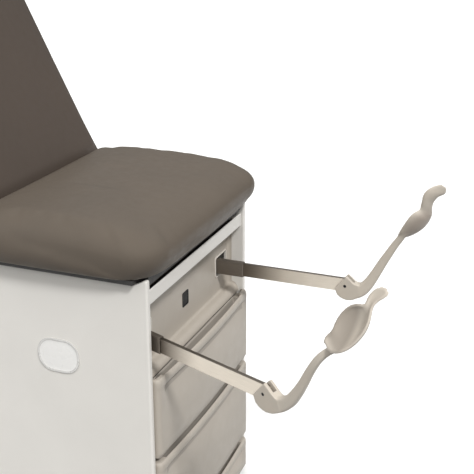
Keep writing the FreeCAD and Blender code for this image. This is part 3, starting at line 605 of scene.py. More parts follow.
# ------------------------------------------------------------------ recessed stirrup panel
def stirrup_tray():
    """Recessed wall that turns through a small cove into a ledge; the ledge rolls over and down behind the drawer's lip."""
    cove = [(math.cos(math.radians(-80 * i / 6)), math.sin(math.radians(-80 * i / 6))) for i in range(7)]
    line = [(-476, 724), (-476, 705), (-476, 680), (-476, 655), (-476, 630), (-476, 605), (-476, 585)]
    line += [(-483 + 7 * c, 565.5 + 7 * s) for c, s in cove]
    n_in = len(line)
    line += [(-488, 558.3), (-492, 557.7), (-495.8, 556.2), (-499.0, 553.8), (-501.6, 550.8), (-503.4, 547.6), (-504.4, 544.8), (-504.6, 542.8)]
    n_on = len(line)
    line += [(-504.2, 541.6), (-503.0, 541.0), (-498, 540.8), (-490, 540.8), (-477, 541.4), (-474, 542.0), (-472.4, 544), (-472, 548), (-472, 636), (-472, 724)]
    xs = [0, 60, 120, 180, 220, 245, 254, 258, 260.5, 262.5, 264.2, 265.6, 266.8, 267.8, 268.6, 269.2, 269.7, 270]
    xs = [-x for x in reversed(xs[1:])] + xs
    rings = []
    for x in xs:
        e = 270 - abs(x)
        r = 11.0
        fil = r - math.sqrt(max(0.0, r * r - (r - e) ** 2)) if e < r else 0.0
        ring = []
        for i, (y, z) in enumerate(line):
            if i < 7:
                y -= fil
            elif i < n_in:
                c, q = cove[i - 7]
                y -= fil * c
                z -= fil * q
            elif i < n_on:
                k = (n_on - i) / (n_on - n_in)
                z += fil * 0.8 * k
                y -= fil * 0.25 * k
            ring.append((x, y, z))
        rings.append(ring)
    ob = make("recess_shell", *loft(rings), mat="front_plastic")
    slots = []
    for x0, x1 in ((-255, -186), (186, 255)):
        path = rrect(x0, x1, 608, 658, (4, 4, 4, 4), nc=5)
        slots.append(loft([[(x, -500, z) for x, z in path], [(x, -460, z) for x, z in path]]))
    path = rrect(-16, 16, 609.5, 644.5, (3, 3, 3, 3), nc=4)
    slots.append(loft([[(x, -492, z) for x, z in path], [(x, -460, z) for x, z in path]]))
    cut(ob, join(*slots))
    tidy(ob, 40)
    put(ob, "cabinet", "front_plastic", "stirrup_panel")


stirrup_tray()

# thin rolled edging round the slots
prof = [(-0.6, -471.8), (-0.6, -477.0), (-0.2, -477.8), (0.5, -478.3), (1.3, -478.4), (2.1, -478.1), (2.7, -477.4), (3.0, -476.4), (3.0, -475.6), (1.0, -475.2), (1.0, -471.8)]
parts = []
for x0, x1 in ((-255, -186), (186, 255)):
    rings = []
    for o, y in prof:
        rings.append([(x, y, z) for x, z in rrect(x0 - o, x1 + o, 608 - o, 658 + o, (4 + o,) * 4, nc=6, ne=2)])
    rings.append(rings[0])
    parts.append(loft(rings, cap0=False, cap1=False))
ob = make("slot_frames", *join(*parts), mat="bezel_plastic", sharp=60)
put(ob, "cabinet", "bezel_plastic", "slot_bezels")

rings = []
for o, y in ((1.0, -472.2), (1.0, -476.0), (0.0, -476.0), (0.0, -476.8), (0.4, -477.3), (1.2, -477.5), (2.6, -477.5), (3.2, -477.2), (3.6, -476.6), (6.0, -476.5), (13.0, -476.8)):
    rings.append([(x, y, z) for x, z in rrect(-17 + o, 17 - o, 608.5 + o, 645.5 - o, (max(4 - o * 0.6, 1.2),) * 4, nc=5)])
ob = make("square_plug", *loft(rings), mat="black_plastic", sharp=55)
put(ob, "cabinet", "black_plastic", "blanking_plug")


# ------------------------------------------------------------------ bowed fronts
def bowed_front(name, node, body, z0, z1, deep, low=0.0):
    """Front bowed in plan: tapered foot, long soft hollow under a rolled pull lip, trough behind the lip."""
    h = z1 - z0
    outer = [(9, 0.0), (12.0, 0.2), (13.8, 1.0), (15.2, 2.8), (16.6, 6), (18.2, 11), (19.6, 17), (20.7, 24), (21.5, 32), (21.9, 42)]
    outer = [(p, z0 + z * min(1.0, h / 150.0)) for p, z in outer]
    hollow = [(22.0, 120), (21.5, 105), (20.4, 90), (18.6, 75), (16.4, 61), (14.2, 50), (12.2, 41), (10.6, 34), (9.6, 29), (9.4, 26.0), (10.0, 24.0), (11.8, 22.8), (15.0, 22.0), (18.4, 21.2),
              (20.6, 19.0), (21.7, 15.6), (22.0, 11.5), (21.7, 7.2), (20.8, 4.0), (19.4, 1.8), (17.6, 0.5), (16.2, 0.0), (15.0, 0.6), (14.3, 2.0), (14.0, 4.5)]
    k = min(1.0, (h - 40) / 130.0)
    outer += [(p, z1 - (z if z < 28 else 27 + (z - 27) * k)) for p, z in hollow]
    rear = -13.0 if low else -4.0
    back = [(14.0, 9.0), (12.6, 12.0), (9.4, 14.4), (7.2, 17.4), (6.6, 21.0), (6.6, deep - 7), (5.8, deep - 2.5), (4.0, deep - 0.5), (rear + 5.5, deep), (rear + 3.0, deep - 0.5), (rear + 0.8, deep - 2.5),
            (rear, deep - 7), (rear, low + 4.0), (rear - 0.6, low + 1.4), (rear - 1.6, low + 0.3), (rear - 2.4, low)]
    trough = [(p, z1 - z) for p, z in back]
    rest = [(-18.0, z1 - low), (-18.0, z0)]
    loop = outer + trough + rest
    n_out, n_tr = len(outer), len(trough)
    xs = [0, 30, 60, 90, 120, 150, 180, 205, 218, 224, 228, 231, 233, 234.3, 235, 238, 243, 248, 252, 255.5, 258.5, 261, 263, 264.6, 265.8, 266.6, 267.2, 267.5]
    xs = [-x for x in reversed(xs[1:])] + xs
    rings = []
    for x in xs:
        bow = x * x / (2 * 3650.0)
        e = 267.5 - abs(x)
        r = 10.0
        rnd = r - math.sqrt(max(0.0, r * r - (r - e) ** 2)) if e < r else 0.0
        rz = 5.0
        rdz = rz - math.sqrt(max(0.0, rz * rz - (rz - e) ** 2)) if e < rz else 0.0
        c = abs(x) - 224.0
        fill = 0.0 if c <= 0 else (1.0 if c >= 11 else 1 - math.sqrt(max(0.0, 1 - (c / 11.0) ** 2)))
        ring = []
        for i, (p, z) in enumerate(loop):
            if i < n_out:
                if i < n_out - 9:
                    # the hollow under the lip and the tucked foot run out towards the ends
                    s = min(1.0, max(0.0, (abs(x) - 206.0) / 48.0))
                    p = p + (22.0 - p) * 0.96 * s * s * (3 - 2 * s) * (1.0 if z > z0 + 8 else 0.35)
                pp = p - bow - rnd * min(1.0, max(0.0, (p + 4) / 16.0))
                zz = z
                if z > z1 - 16:
                    zz = z - rdz * (z - (z1 - 16)) / 16.0
                if z < z0 + 16:
                    zz = z + rdz * (z0 + 16 - z) / 16.0
                if i > n_out - 3:
                    zz = zz + (z1 - rdz - zz) * fill
            elif i < n_out + n_tr:
                pp = p - bow * min(1.0, max(0.0, (p + 18) / 22.0)) - rnd * min(1.0, max(0.0, (p + 4) / 16.0))
                top = z1 if p > 9 else z1 - low
                zz = z + (top - z) * fill - rdz * fill
            else:
                pp, zz = p, z
                if i == n_out + n_tr:
                    zz = z - rdz
                else:
                    zz = z + rdz
            ring.append((x, -520 - pp, zz))
        rings.append(ring)
    ob = make(name, *loft(rings), mat="front_plastic", sharp=55)
    # the inside of the finger trough takes a darker plastic: painted shade in the recess
    ob.data.materials.append(M["trough_shade_plastic"])
    for f in ob.data.polygons:
        c = f.center / S
        if -533.5 < c.y < -503 and z1 - deep - 1 < c.z < z1 - 8 and abs(c.x) < 236:
            f.material_index = 1
    put(ob, body, "front_plastic", node)
    return ob


bowed_front("upper_front_shell", "upper_drawer_front", "upper_drawer", 355, 551, 39, 14.0)
bowed_front("lower_front_shell", "lower_drawer_front", "lower_drawer", 119, 343, 39)
bowed_front("step_front_shell", "step_front", "step", 14, 107, 30)


def tray(name, x0, x1, y0, y1, z0, z1, wall, floor_t, r, mat, flip=False):
    """Open moulded box with soft corners and a rolled rim."""
    rows = [(3.0, 0.0), (1.0, 0.6), (0.0, 2.5), (0.0, (z1 - z0) * 0.5), (0.0, z1 - z0 - 1.2), (0.4, z1 - z0 - 0.3), (1.2, z1 - z0),
            (wall - 1.2, z1 - z0), (wall - 0.4, z1 - z0 - 0.3), (wall, z1 - z0 - 1.2), (wall, floor_t + 5), (wall + 1.2, floor_t + 1.5), (wall + 5, floor_t)]
    rings = []
    for o, h in rows:
        z = z1 - h if flip else z0 + h
        rr = max(r - o, 1.5)
        rings.append([(x, y, z) for x, y in rrect(x0 + o, x1 - o, y0 + o, y1 - o, (rr,) * 4, nc=5, ne=1)])
    return make(name, *loft(rings), mat=mat, sharp=50)


put(weigh(tray("upper_box_shell", -257, 257, -502, -40, 375, 515, 6, 6, 9, "drawer_plastic")), "upper_drawer", "drawer_plastic", "upper_drawer_box")
put(weigh(tray("lower_box_shell", -257, 257, -502, -40, 140, 300, 6, 6, 9, "drawer_plastic")), "lower_drawer", "drawer_plastic", "lower_drawer_box")
put(weigh(tray("step_frame_shell", -257, 257, -502, -140, 16, 95, 3, 3, 6, "dark_metal", flip=True)), "step", "dark_metal", "step_frame")

# ribbed rubber tread
line = [(-498, 95.05), (-498, 99.4), (-497.2, 100.6), (-496, 101)]
y = -489.0
line.append((-490.5, 101))
while y < -192:
    line += [(y, 99.2), (y + 2.2, 99.2), (y + 3.4, 100.7), (y + 4.4, 101), (y + 7.0, 101), (y + 8.0, 100.7)]
    y += 9.2
line += [(y, 99.2), (-186, 101), (-182, 101), (-180.6, 100.4), (-180, 99.2), (-180, 95.05)]
rings = []
for x, dz in ((-247, 1.6), (-246.2, 0.5), (-245, 0.0), (0, 0.0), (245, 0.0), (246.2, 0.5), (247, 1.6)):
    rings.append([(x, y, max(95.05, z - dz) if z > 96 else z) for y, z in line])
ob = make("ribbed_tread", *loft(rings), mat="black_rubber", sharp=35)
put(ob, "step", "black_rubber", "step_tread")

# ------------------------------------------------------------------ leg rest rail
prof = [(-515.0, 729), (-514.6, 727.2), (-513.4, 726.0), (-511.5, 725.5), (-500, 725.5), (-498, 725.8), (-498, 742), (-511.6, 742), (-511.7, 757.6), (-512.0, 759.2),
        (-512.8, 759.9), (-513.6, 760), (-514.4, 759.4), (-514.9, 758.2), (-515, 756.6)]
rings = []
for x, k in ((267.0, 1.0), (266.6, 0.5), (265.8, 0.15), (264.5, 0.0), (150, 0.0), (0, 0.0)):
    rings.append((x, k))
seq = [(-x, k) for x, k in rings] + [(x, k) for x, k in reversed(rings[:-1])]
rings = [[(x, y + (2.2 * k if y < -510 else 0), z + (1.4 * k if z < 730 else -1.4 * k if z > 755 else 0)) for y, z in prof] for x, k in seq]
ob = weigh(make("front_rail", *loft(rings), mat="panel_paint", sharp=50))
put(ob, "leg_rest", "panel_paint", "leg_rest_rail")


# ------------------------------------------------------------------ seat board with its dark front edge
ob = make("seat_carrier", *join(block(-300, 300, -495, -102, 781, 793, 1.5), block(-263, 263, -513, -493, 781, 793, 1.5), block(-263, 263, -513, -501, 768.6, 783, 1.5)), mat="black_board", sharp=50)
weigh(ob)
put(ob, "cabinet", "black_board", "seat_board")


# ------------------------------------------------------------------ upholstery
def pad_mesh(rows, x0, x1, y0, y1, rf, rr, nc=14, ne=8):
    """Closed pad from rows of (front, side, rear inset, height)."""
    rings = []
    for f, s, b, z in rows:
        m = 0.5 * (f + s)
        n = 0.5 * (b + s)
        a, c = max(rf - m * 0.75, 6), max(rr - n * 0.6, 5)
        rings.append([(x, y, z) for x, y in rrect(x0 + s, x1 - s, y0 + f, y1 - b, (a, c, c, a), nc=nc, ne=ne)])
    return loft(rings)


def reskin(ob, voxel):
    md = ob.modifiers.new("skin", "REMESH")
    md.mode = "VOXEL"
    md.voxel_size = voxel * S
    md.use_smooth_shade = True
    return flatten(ob)


def relax(ob, turns, factor=0.5):
    md = ob.modifiers.new("relax", "SMOOTH")
    md.factor = factor
    md.iterations = turns
    return flatten(ob)


def inflate(ob, held, cap, pressure=4.0, frames=20):
    """Blows the cover up as cloth with its held points pinned, and caps how far a point moves."""
    me = ob.data
    start = [v.co.copy() for v in me.vertices]
    vg = ob.vertex_groups.new(name="held")
    vg.add([i for i, c in enumerate(start) if held(c / S)], 1.0, "REPLACE")
    md = ob.modifiers.new("cover", "CLOTH")
    st = md.settings
    st.quality = 4
    st.mass = 0.35
    st.tension_stiffness = 25
    st.compression_stiffness = 25
    st.shear_stiffness = 12
    st.bending_stiffness = 2.0
    st.use_pressure = True
    st.uniform_pressure_force = pressure
    st.effector_weights.gravity = 0.0
    st.vertex_group_mass = "held"
    md.collision_settings.use_collision = False
    md.point_cache.frame_start = 1
    md.point_cache.frame_end = frames
    for f in range(1, frames + 1):
        scene.frame_set(f)
    dg = bpy.context.evaluated_depsgraph_get()
    blown = bpy.data.meshes.new_from_object(ob.evaluated_get(dg))
    moved = [v.co.copy() for v in blown.vertices]
    bpy.data.meshes.remove(blown)
    ob.modifiers.remove(md)
    ob.vertex_groups.remove(vg)
    scene.frame_set(1)
    lim = cap * S
    for v, a, b in zip(me.vertices, start, moved):
        d = b - a
        n = d.length
        if n > lim:
            d *= lim / n
        v.co = a + d
    me.update()
    return ob


def finish_pad(ob, mat, keep=None):
    relax(ob, 6)
    if keep:
        for v in ob.data.vertices:
            v.co = keep(v.co / S) * S
        ob.data.update()
    ob.data.materials.clear()
    ob.data.materials.append(M[mat])
    tidy(ob)
    md = ob.modifiers.new("fine", "SUBSURF")
    md.levels = md.render_levels = 1
    return ob


def quarter(n, a0, a1):
    return [math.radians(a0 + (a1 - a0) * i / n) for i in range(n + 1)]


# Seat: tucked under at the bottom, widest low down, then a long soft roll to a crowned top.
rows = [(75, 60, 60, 793.2), (50, 27, 14, 793.2), (46, 22, 12, 791.5)]
for a in quarter(7, -70, 0):
    rows.append((50 * (1 - math.cos(a)) + 2, 19 * (1 - math.cos(a)) + 2, 8 * (1 - math.cos(a)) + 4, 838 + 47.0 * math.sin(a)))
for a in quarter(12, 6, 90):
    rows.append((86 * (1 - math.cos(a)) + 2, 60 * (1 - math.cos(a)) + 2, 16 * (1 - math.cos(a)) + 4, 838 + 45.5 * math.sin(a)))
for t in (0.12, 0.25, 0.4, 0.6, 0.8):
    rows.append((84 + 120 * t, 60 + 230 * t, 20 + 128 * t, 883.5 + 3.2 * math.sin(t * math.pi / 2)))
verts, faces = pad_mesh(rows, -326, 326, -562, -95, 84, 34)
arched = []
for x, y, z in verts:
    # the filling stands highest half way along and the sides belly out there
    g = max(0.0, 1 - ((y + 285) / 225.0) ** 2)
    arched.append((x * (1 + 0.012 * g), y, z + 18.0 * g * max(0.0, (z - 824) / 59.5)))
seat = make("seat_form", arched, faces, mat=None)
reskin(seat, 6)
inflate(seat, lambda c: c.z < 796 or c.y > -112, 4.5)


def keep_seat(c):
    c = c.copy()
    c.y = min(c.y, -97.2)
    c.z = max(c.z, 793.1 if abs(c.x) < 301 and c.y > -514 else 788.5)
    return c


finish_pad(seat, "vinyl", keep_seat)
put(seat, "cabinet", "vinyl", "seat_cushion")

# Backrest, in its hinge's frame: flat face, tight edges, rolled lower end.
HINGE = Matrix.Translation((0, -74 * S, 867 * S)) @ Matrix.Rotation(math.radians(63.4), 4, "X")
rows = [(60, 60, 60, -61.9), (7, 10, 9, -61.9)]
for a in quarter(5, -80, 0):
    rows.append((5 * (1 - math.cos(a)) + 1, 9 * (1 - math.cos(a)) + 2.5, 9 * (1 - math.cos(a)) + 2, -46 + 16 * math.sin(a)))
for z in (-34, -22, -12):
    rows.append((1, 2.5, 2, z))
for a in quarter(10, 0, 90):
    rows.append((20.5 * (1 - math.cos(a)) + 1, 17 * (1 - math.cos(a)) + 2.5, 26 * (1 - math.cos(a)) + 2, -3.5 + 21 * math.sin(a)))
for t in (0.1, 0.25, 0.5, 0.8):
    rows.append((22 + 200 * t, 20 + 260 * t, 28 + 200 * t, 17.5 + 2.0 * math.sin(t * math.pi / 2)))
back = make("back_form", *pad_mesh(rows, -320, 320, -20, 745, 14, 44), mat=None)
reskin(back, 6)
inflate(back, lambda c: c.z < -58 or c.y < 6, 4.0)


def keep_back(c):
    c = c.copy()
    c.z = max(min(c.z, 24.0), -61.9)
    if c.y < 0 and c.z > 0:
        r = math.hypot(c.y, c.z)
        if r > 20.0:
            c.y, c.z = c.y * 20.0 / r, c.z * 20.0 / r
    c.y = max(c.y, -19.6)
    return c


relax(back, 6)
for v in back.data.vertices:
    v.co = keep_back(v.co / S) * S
gaps = [block(a, b, -40, 113, -80, 14.5, 2.0) for a, b in ((-246, -205), (205, 246))]
cut(back, join(*gaps))
# the backrest takes the darker vinyl copy: painted shade
back.data.materials.clear()
back.data.materials.append(M["vinyl_back_shade"])
tidy(back, 60)
back.matrix_world = HINGE
put(back, "backrest", "vinyl", "back_cushion")

# Leg rest pad, hidden under the seat until it is drawn out.
rows = [(30, 30, 30, 742.1), (6, 6, 6, 742.1)]
for a in quarter(4, -75, 0):
    rows.append((5 * (1 - math.cos(a)) + 1.5, 5 * (1 - math.cos(a)) + 1.5, 5 * (1 - math.cos(a)) + 1.5, 749 + 7 * math.sin(a)))
for a in quarter(6, 10, 90):
    rows.append((14 * (1 - math.cos(a)) + 1.5, 14 * (1 - math.cos(a)) + 1.5, 14 * (1 - math.cos(a)) + 1.5, 749 + 13 * math.sin(a)))
for t in (0.2, 0.5, 0.8):
    rows.append((16 + 170 * t, 16 + 200 * t, 16 + 170 * t, 762 + 1.2 * math.sin(t * math.pi / 2)))
pad = make("leg_pad_form", *pad_mesh(rows, -250, 250, -496, -70, 22, 22), mat=None)
reskin(pad, 5)
inflate(pad, lambda c: c.z < 745, 2.0, pressure=2.5, frames=14)


def keep_pad(c):
    c = c.copy()
    c.z = max(min(c.z, 766.3), 742.1)
    return c


finish_pad(pad, "vinyl", keep_pad)
put(pad, "leg_rest", "vinyl", "leg_rest_pad")


# ------------------------------------------------------------------ stirrups
def stirrup(side, px, swing, reach):
    place = Matrix.Translation((px * S, -380 * S, 636 * S)) @ Matrix.Rotation(math.radians(swing), 4, "Z")

    # Sleeve: folded tube with a softened mouth, and its turned pivot stubs.
    outer = lambda o: rrect(-7.2 + o, 7.2 - o, -19.4 + o, 19.4 - o, (2.4 - o * 0.5,) * 4, nc=4)
    inner = lambda o: rrect(-4.9 - o, 4.9 + o, -17.15 - o, 17.15 + o, (0.8 + o,) * 4, nc=4)
    rings = []
    for y, o in ((110, 1.2), (109, 0.2), (107.5, 0), (0, 0), (-167, 0), (-168.8, 0.3), (-169.7, 1.0)):
        rings.append([(x, y, z) for x, z in outer(o)])
    for y, o in ((-170, 1.4), (-169.6, 0.5), (-168.4, 0.0), (0, 0.0), (108.5, 0.0), (110, 0.8)):
        rings.append([(x, y, z) for x, z in inner(o)])
    rings.append(rings[0])
    tube = loft(rings, cap0=False, cap1=False)
    low = spin([(-31.0, 6.6), (-30.1, 7.9), (-24.2, 8.0), (-24.2, 12.2), (-23.5, 13.0), (-18.6, 13.0)], "Z", (0, 0, 0), 40)
    top = spin([(18.6, 13.0), (22.5, 13.0), (23.2, 12.2), (23.2, 8.0), (29.1, 7.9), (30.0, 6.6)], "Z", (0, 0, 0), 40)
    ob = make("sleeve_" + side, *join(tube, low, top), mat="sleeve_steel", sharp=35)
    ob.matrix_world = place
    put(ob, "stirrup_guide_" + side, "sleeve_steel", "stirrup_guide_" + side)

    # Bar: flat steel with eased edges and a rounded nose inside the clevis.
    y0, y1 = -reach - 10, -reach - 10 + 534
    path = []
    for cy, cz, a0 in ((y1 - 3, -14, -90), (y1 - 3, 14, 0)):
        for i in range(5):
            a = math.radians(a0 + 90 * i / 4)
            path.append((cy + 3 * math.cos(a), cz + 3 * math.sin(a)))
    for k in range(1, 10):
        path.append((y1 - 3 + (y0 + 9 - y1 + 3) * k / 10, 17))
    for cy, cz, a0 in ((y0 + 9, 8, 90), (y0 + 9, -8, 180)):
        for i in range(7):
            a = math.radians(a0 + 90 * i / 6)
            path.append((cy + 9 * math.cos(a), cz + 9 * math.sin(a)))
    for k in range(1, 10):
        path.append((y0 + 9 + (y1 - 3 - y0 - 9) * k / 10, -17))
    mid_y, mid_z = (y0 + y1) / 2, 0.0
    rings = []
    for x, o in ((-4.75, 1.0), (-4.6, 0.5), (-4.3, 0.18), (-3.75, 0.0), (3.75, 0.0), (4.3, 0.18), (4.6, 0.5), (4.75, 1.0)):
        ring = []
        for y, z in path:
            ky = 1 - o / 267.0
            kz = 1 - o / 17.0
            ring.append((x, mid_y + (y - mid_y) * ky, z * kz))
        rings.append(ring)
    ob = make("bar_" + side, *loft(rings), mat="bar_steel", sharp=None)
    cut(ob, spin([(-10, 4.05), (10, 4.05)], "X", (0, -reach, 0), 40))
    tidy(ob, 30)
    weigh(ob)
    ob.matrix_world = place
    put(ob, "stirrup_bar_" + side, "bar_steel", "stirrup_bar_" + side)

    # Pin: blackened, set a little below the cheeks, with a hexagon socket.
    prof = [(-11.4, 3.2), (-11.0, 3.9), (-10.2, 4.0), (10.2, 4.0), (11.0, 3.9), (11.4, 3.2)]
    ob = make("pin_" + side, *spin(prof, "X", (0, -reach, 0), 40), mat="black_metal", sharp=35)
    hexes = []
    for x0, x1 in ((-13, -8.5), (8.5, 13)):
        ring = [(-reach + 2.1 * math.cos(math.radians(60 * i)), 2.1 * math.sin(math.radians(60 * i))) for i in range(6)]
        hexes.append(loft([[(x0, a, b) for a, b in ring], [(x1, a, b) for a, b in ring]]))
    cut(ob, join(*hexes))
    tidy(ob, 35)
    ob.matrix_world = place
    put(ob, "stirrup_bar_" + side, "black_metal", "heel_pin_" + side)

    # Heel rest: clevis, S-shaped arm, heel cup and curled toe tongue, moulded in one.
    def world_of(x, u, z):
        return (x, -reach - u, z)

    if side == "left":
        lower = spline([(45, -22), (36, -28), (22, -34), (7, -36), (-8, -32), (-19, -24.5)], 4)
        upper = [(-25.5, -9), (1.5, 24.0), (4.2, 24.2), (22, 9.5), (29, 4.5), (36, 1.5)]
        arm = spline([(16, -14, 38, 23.9, 0), (30, -13, 33, 23.6, 0), (46, -6.5, 28, 22, 0), (61, 6.5, 24, 19.5, 0), (76, 28, 21, 16.8, 0), (90, 53, 18.5, 15, 0), (101, 76, 17, 14, 0),
                      (112, 97, 16.2, 13.6, 0.5), (123, 115, 15.6, 13.6, 2.5), (135, 129, 15, 14, 7), (147, 138.5, 14.5, 15, 13), (156, 143, 14, 16, 17.5)], 4)
    else:
        lower = spline([(41, -19), (36, -24), (22, -32.5), (7, -36), (-8, -32), (-19, -24.5)], 4)
        upper = [(-25.5, -9), (1.5, 24.0), (4.2, 24.2), (21, 10), (27, 7.5), (32, 8)]
        arm = spline([(14, -13, 40, 23.9, 0), (28, -12, 33, 23.7, 0), (43, -3.5, 29.5, 22.5, 0), (57, 14, 26, 19.5, 0), (71, 39, 23.5, 16.8, 0), (86.5, 69.5, 21.4, 14.8, 0), (100, 94, 19.2, 14, 0),
                      (113.5, 118, 17.4, 14, 0), (126.5, 138, 16, 14, -1), (133, 147, 13, 15, -2.5), (141, 153.5, 9.5, 16, -4), (148.5, 160, 6, 16, -4.3)], 4)
    ring2 = lower + upper
    parts = [loft([[world_of(x, *p) for p in ring2] for x in (-12, -6, 0, 6, 12)])]
    rings = []
    for i, (u, z, th, w, x0) in enumerate(arm):
        a, b = arm[max(0, i - 1)], arm[min(len(arm) - 1, i + 1)]
        d = Vector((b[0] - a[0], b[1] - a[1])).normalized()
        n = Vector((-d.y, d.x))
        ring = []
        for sx, sn in rrect(-w / 2, w / 2, -th / 2, th / 2, (4.2,) * 4, nc=4):
            ring.append(world_of(x0 + sx, u + n.x * sn, z + n.y * sn))
        rings.append(ring)
    parts.append(loft(rings))
    # cup and tongue: a spoon-like sheet on a curved spine, its wings rising towards the table
    nt = 24
    grid = []
    if side == "left":
        # turned towards the middle of the table: axis, mouth direction and cross direction as (x, outward, up)
        ax = Vector((0.370, 0.515, 0.773))
        mouth = Vector((-0.761, -0.309, 0.570))
        cross = Vector((-0.532, 0.799, -0.278))
        org = Vector((21.5, 172.9, 189.8))
        # along the axis: near edge, far edge, depth of the bowl, bend of the sheet
        rows = spline([(-60, -2, 15, 0.6, 0), (-58.5, 6, 19.5, 2.0, 0), (-55, 13.5, 23, 4.0, 0), (-49, 20.5, 24, 6.8, 0), (-41, 27, 22.8, 9.2, 0), (-33, 31.5, 25, 11, 0),
                       (-24, 35, 31, 12.6, 0), (-12, 37.4, 36.5, 13.8, 0), (3, 37.6, 38.6, 14.2, 0), (16, 35.5, 36, 13.4, 0), (26, 31.5, 30, 11.6, 0), (34, 26.5, 23, 9.2, 0),
                       (41, 20, 14, 6.6, 0), (47, 13.5, 12.0, 5.0, 0), (53, 7, 15.0, 4.6, 0), (60, 3.6, 19, 4.5, 0), (68, 3.2, 20.8, 4.4, -0.5), (76, 4.6, 20.4, 4.0, -1.2), (83, 6.4, 17.4, 3.2, -2.2),
                       (88, 6.6, 13, 2.2, -3.2), (91.5, 4.6, 7.6, 1.2, -4), (93, 1.2, 2.8, 0.4, -4.4)], 3.0)
        for al, wr, wl, dep, bend in rows:
            mid, half = (wr - wl) / 2, (wr + wl) / 2
            row = []
            for j in range(nt + 1):
                a = (-1 + 2 * j / nt) * math.pi / 2
                row.append(org + ax * al + cross * (mid + half * math.sin(a)) + mouth * (bend - dep * math.cos(a)))
            grid.append(row)
    else:
        # turned away from the middle, and the tongue turned further than the cup
        ax = Vector((0.0, 0.60, 0.80))
        org = Vector((8.8, 160.9, 184.4))
        # along the axis: outer edge, inner edge, depth of the bowl, turn about the axis
        rows = spline([(-59, -5, 10.5, 1.0, -36), (-57, -3, 12.5, 3.0, -36), (-53, 1.5, 15.4, 6, -36), (-46, 8, 18.8, 10, -36), (-39, 13, 21.6, 13, -36), (-25, 20, 25.4, 17, -36),
                       (-10, 25.5, 29.6, 19, -36), (1, 27, 31.4, 18.8, -36), (12, 25, 31.2, 17.6, -36), (19, 22.4, 28.6, 16.4, -36.5), (25, 19.5, 22.6, 14.5, -38), (31, 15.5, 20.2, 12.5, -41),
                       (37, 9.2, 21.8, 10, -46), (47, 0.8, 26.6, 8.6, -52), (58, -4.4, 32.0, 8.2, -58), (69, -6.2, 34.4, 8.2, -60), (79, -4.6, 34.0, 7.4, -60), (87, 0.6, 31.4, 6.0, -60),
                       (92, 2.2, 28.4, 4.6, -60), (97, -0.6, 25.0, 3.2, -60), (101.5, -5.0, 20.6, 1.8, -60), (104.5, -8.6, 16.4, 0.8, -60)], 3.0)
        for al, wr, wl, dep, turn in rows:
            q = math.radians(turn)
            cross = Vector((math.cos(q), -0.80 * math.sin(q), 0.60 * math.sin(q)))
            mouth = Vector((-math.sin(q), -0.80 * math.cos(q), 0.60 * math.cos(q)))
            mid, half = (wr - wl) / 2, (wr + wl) / 2
            row = []
            for j in range(nt + 1):
                a = (-1 + 2 * j / nt) * math.pi / 2
                row.append(org + ax * al + cross * (mid + half * math.sin(a)) - mouth * (dep * math.cos(a)))
            grid.append(row)
    nr = len(grid)
    off = []
    for i in range(nr):
        row = []
        for j in range(nt + 1):
            du = grid[min(nr - 1, i + 1)][j] - grid[max(0, i - 1)][j]
            dv = grid[i][min(nt, j + 1)] - grid[i][max(0, j - 1)]
            n = du.cross(dv)
            n = n.normalized() if n.length > 1e-9 else Vector((0, -0.83, 0.56))
            row.append(n)
        off.append(row)
    # the sheet thickens to a rolled rim
    th = [2.5 + 0.9 * abs(-1 + 2 * j / nt) ** 6 for j in range(nt + 1)]
    verts = [world_of(*(grid[i][j] + off[i][j] * th[j])) for i in range(nr) for j in range(nt + 1)]
    verts += [world_of(*(grid[i][j] - off[i][j] * th[j])) for i in range(nr) for j in range(nt + 1)]
    m = nr * (nt + 1)
    idx = lambda i, j: i * (nt + 1) + j
    faces = []
    for i in range(nr - 1):
        for j in range(nt):
            q = (idx(i, j), idx(i, j + 1), idx(i + 1, j + 1), idx(i + 1, j))
            faces.append(q)
            faces.append(tuple(m + k for k in reversed(q)))
    rim = [idx(0, j) for j in range(nt + 1)] + [idx(i, nt) for i in range(1, nr)] + [idx(nr - 1, j) for j in range(nt - 1, -1, -1)] + [idx(i, 0) for i in range(nr - 2, 0, -1)]
    for k in range(len(rim)):
        p, q = rim[k], rim[(k + 1) % len(rim)]
        faces.append((q, p, m + p, m + q))
    parts.append((verts, faces))
    bm_ob = make("heel_" + side, *join(*parts), mat=None)
    reskin(bm_ob, 1.5)
    relax(bm_ob, 10)
    slot = [(-60, -17.7), (-13, -17.7), (-10, -21.6), (10, -21.6), (18, -14), (21.6, 0), (21.6, 60), (-60, 60)]
    tools = [loft([[world_of(x, *p) for p in slot] for x in (-5.25, 5.25)]), spin([(-20, 4.1), (20, 4.1)], "X", (0, -reach, 0), 40)]
    cut(bm_ob, join(*tools))
    bm_ob.data.materials.clear()
    bm_ob.data.materials.append(M["heel_" + side])
    tidy(bm_ob, 45)
    bm_ob.matrix_world = place
    put(bm_ob, "heel_rest_" + side, "heel_plastic", "heel_rest_" + side)


stirrup("left", -197, -21.5, 464)
stirrup("right", 197, 0.0, 434)

# ------------------------------------------------------------------ rear screws
parts = []
for x in (-255, 255):
    for z in (80, 300, 520, 740):
        parts.append(spin([(520.0, 5.0), (520.6, 5.0), (521.5, 4.6), (522.1, 3.7), (522.4, 2.5), (522.4, 1.6), (521.2, 1.5), (521.2, 0.4)], "Y", (x, 0, z), 24))
ob = make("button_screws", *join(*parts), mat="pin_steel", sharp=40)
put(ob, "cabinet", "pin_steel", "panel_screws")

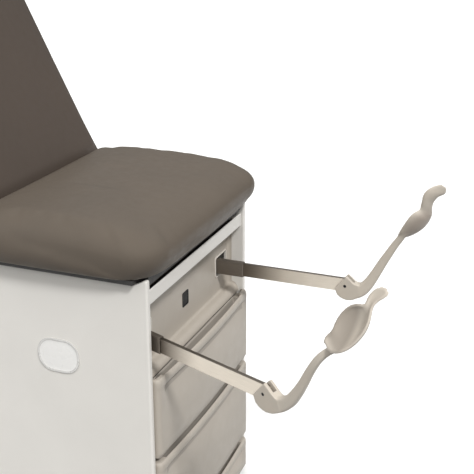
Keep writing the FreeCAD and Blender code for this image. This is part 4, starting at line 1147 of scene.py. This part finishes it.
# ------------------------------------------------------------------ nodes shown as packed
for n, s, b in (("base_plinth", "black_board", 1.5), ("rear_panel", "panel_paint", 1.0), ("top_deck", "black_board", 1.0), ("cross_rails", "dark_metal", 0.8),
                ("stirrup_shelf", "dark_metal", 0), ("stirrup_bridge", "dark_metal", 0), ("cabinet_runners", "runner_steel", 0.5),
                ("leg_rest_guides", "runner_steel", 0.5), ("hinge_ears", "dark_metal", 0.6), ("hinge_pins", "pin_steel", 0.5),
                ("back_bumpers", "black_rubber", 1.0), ("spring_mount", "dark_metal", 0.6), ("spring_pin", "pin_steel", 0.5), ("back_board", "black_board", 1.5),
                ("back_hinge_arms", "dark_metal", 0.6), ("spring_bracket", "dark_metal", 0.6), ("lever_bracket", "dark_metal", 0.5), ("lever_pin", "pin_steel", 0.4),
                ("release_lever", "black_plastic", 1.0), ("spring_cylinder", "black_metal", 0.8), ("spring_rod", "rod_chrome", 0.4),
                ("leg_rest_board", "black_board", 1.0), ("upper_drawer_runners", "runner_steel", 0.5), ("lower_drawer_runners", "runner_steel", 0.5),
                ("step_runners", "runner_steel", 0.5), ("step_glides", "black_rubber", 0.8)):
    dress(n, s, b)
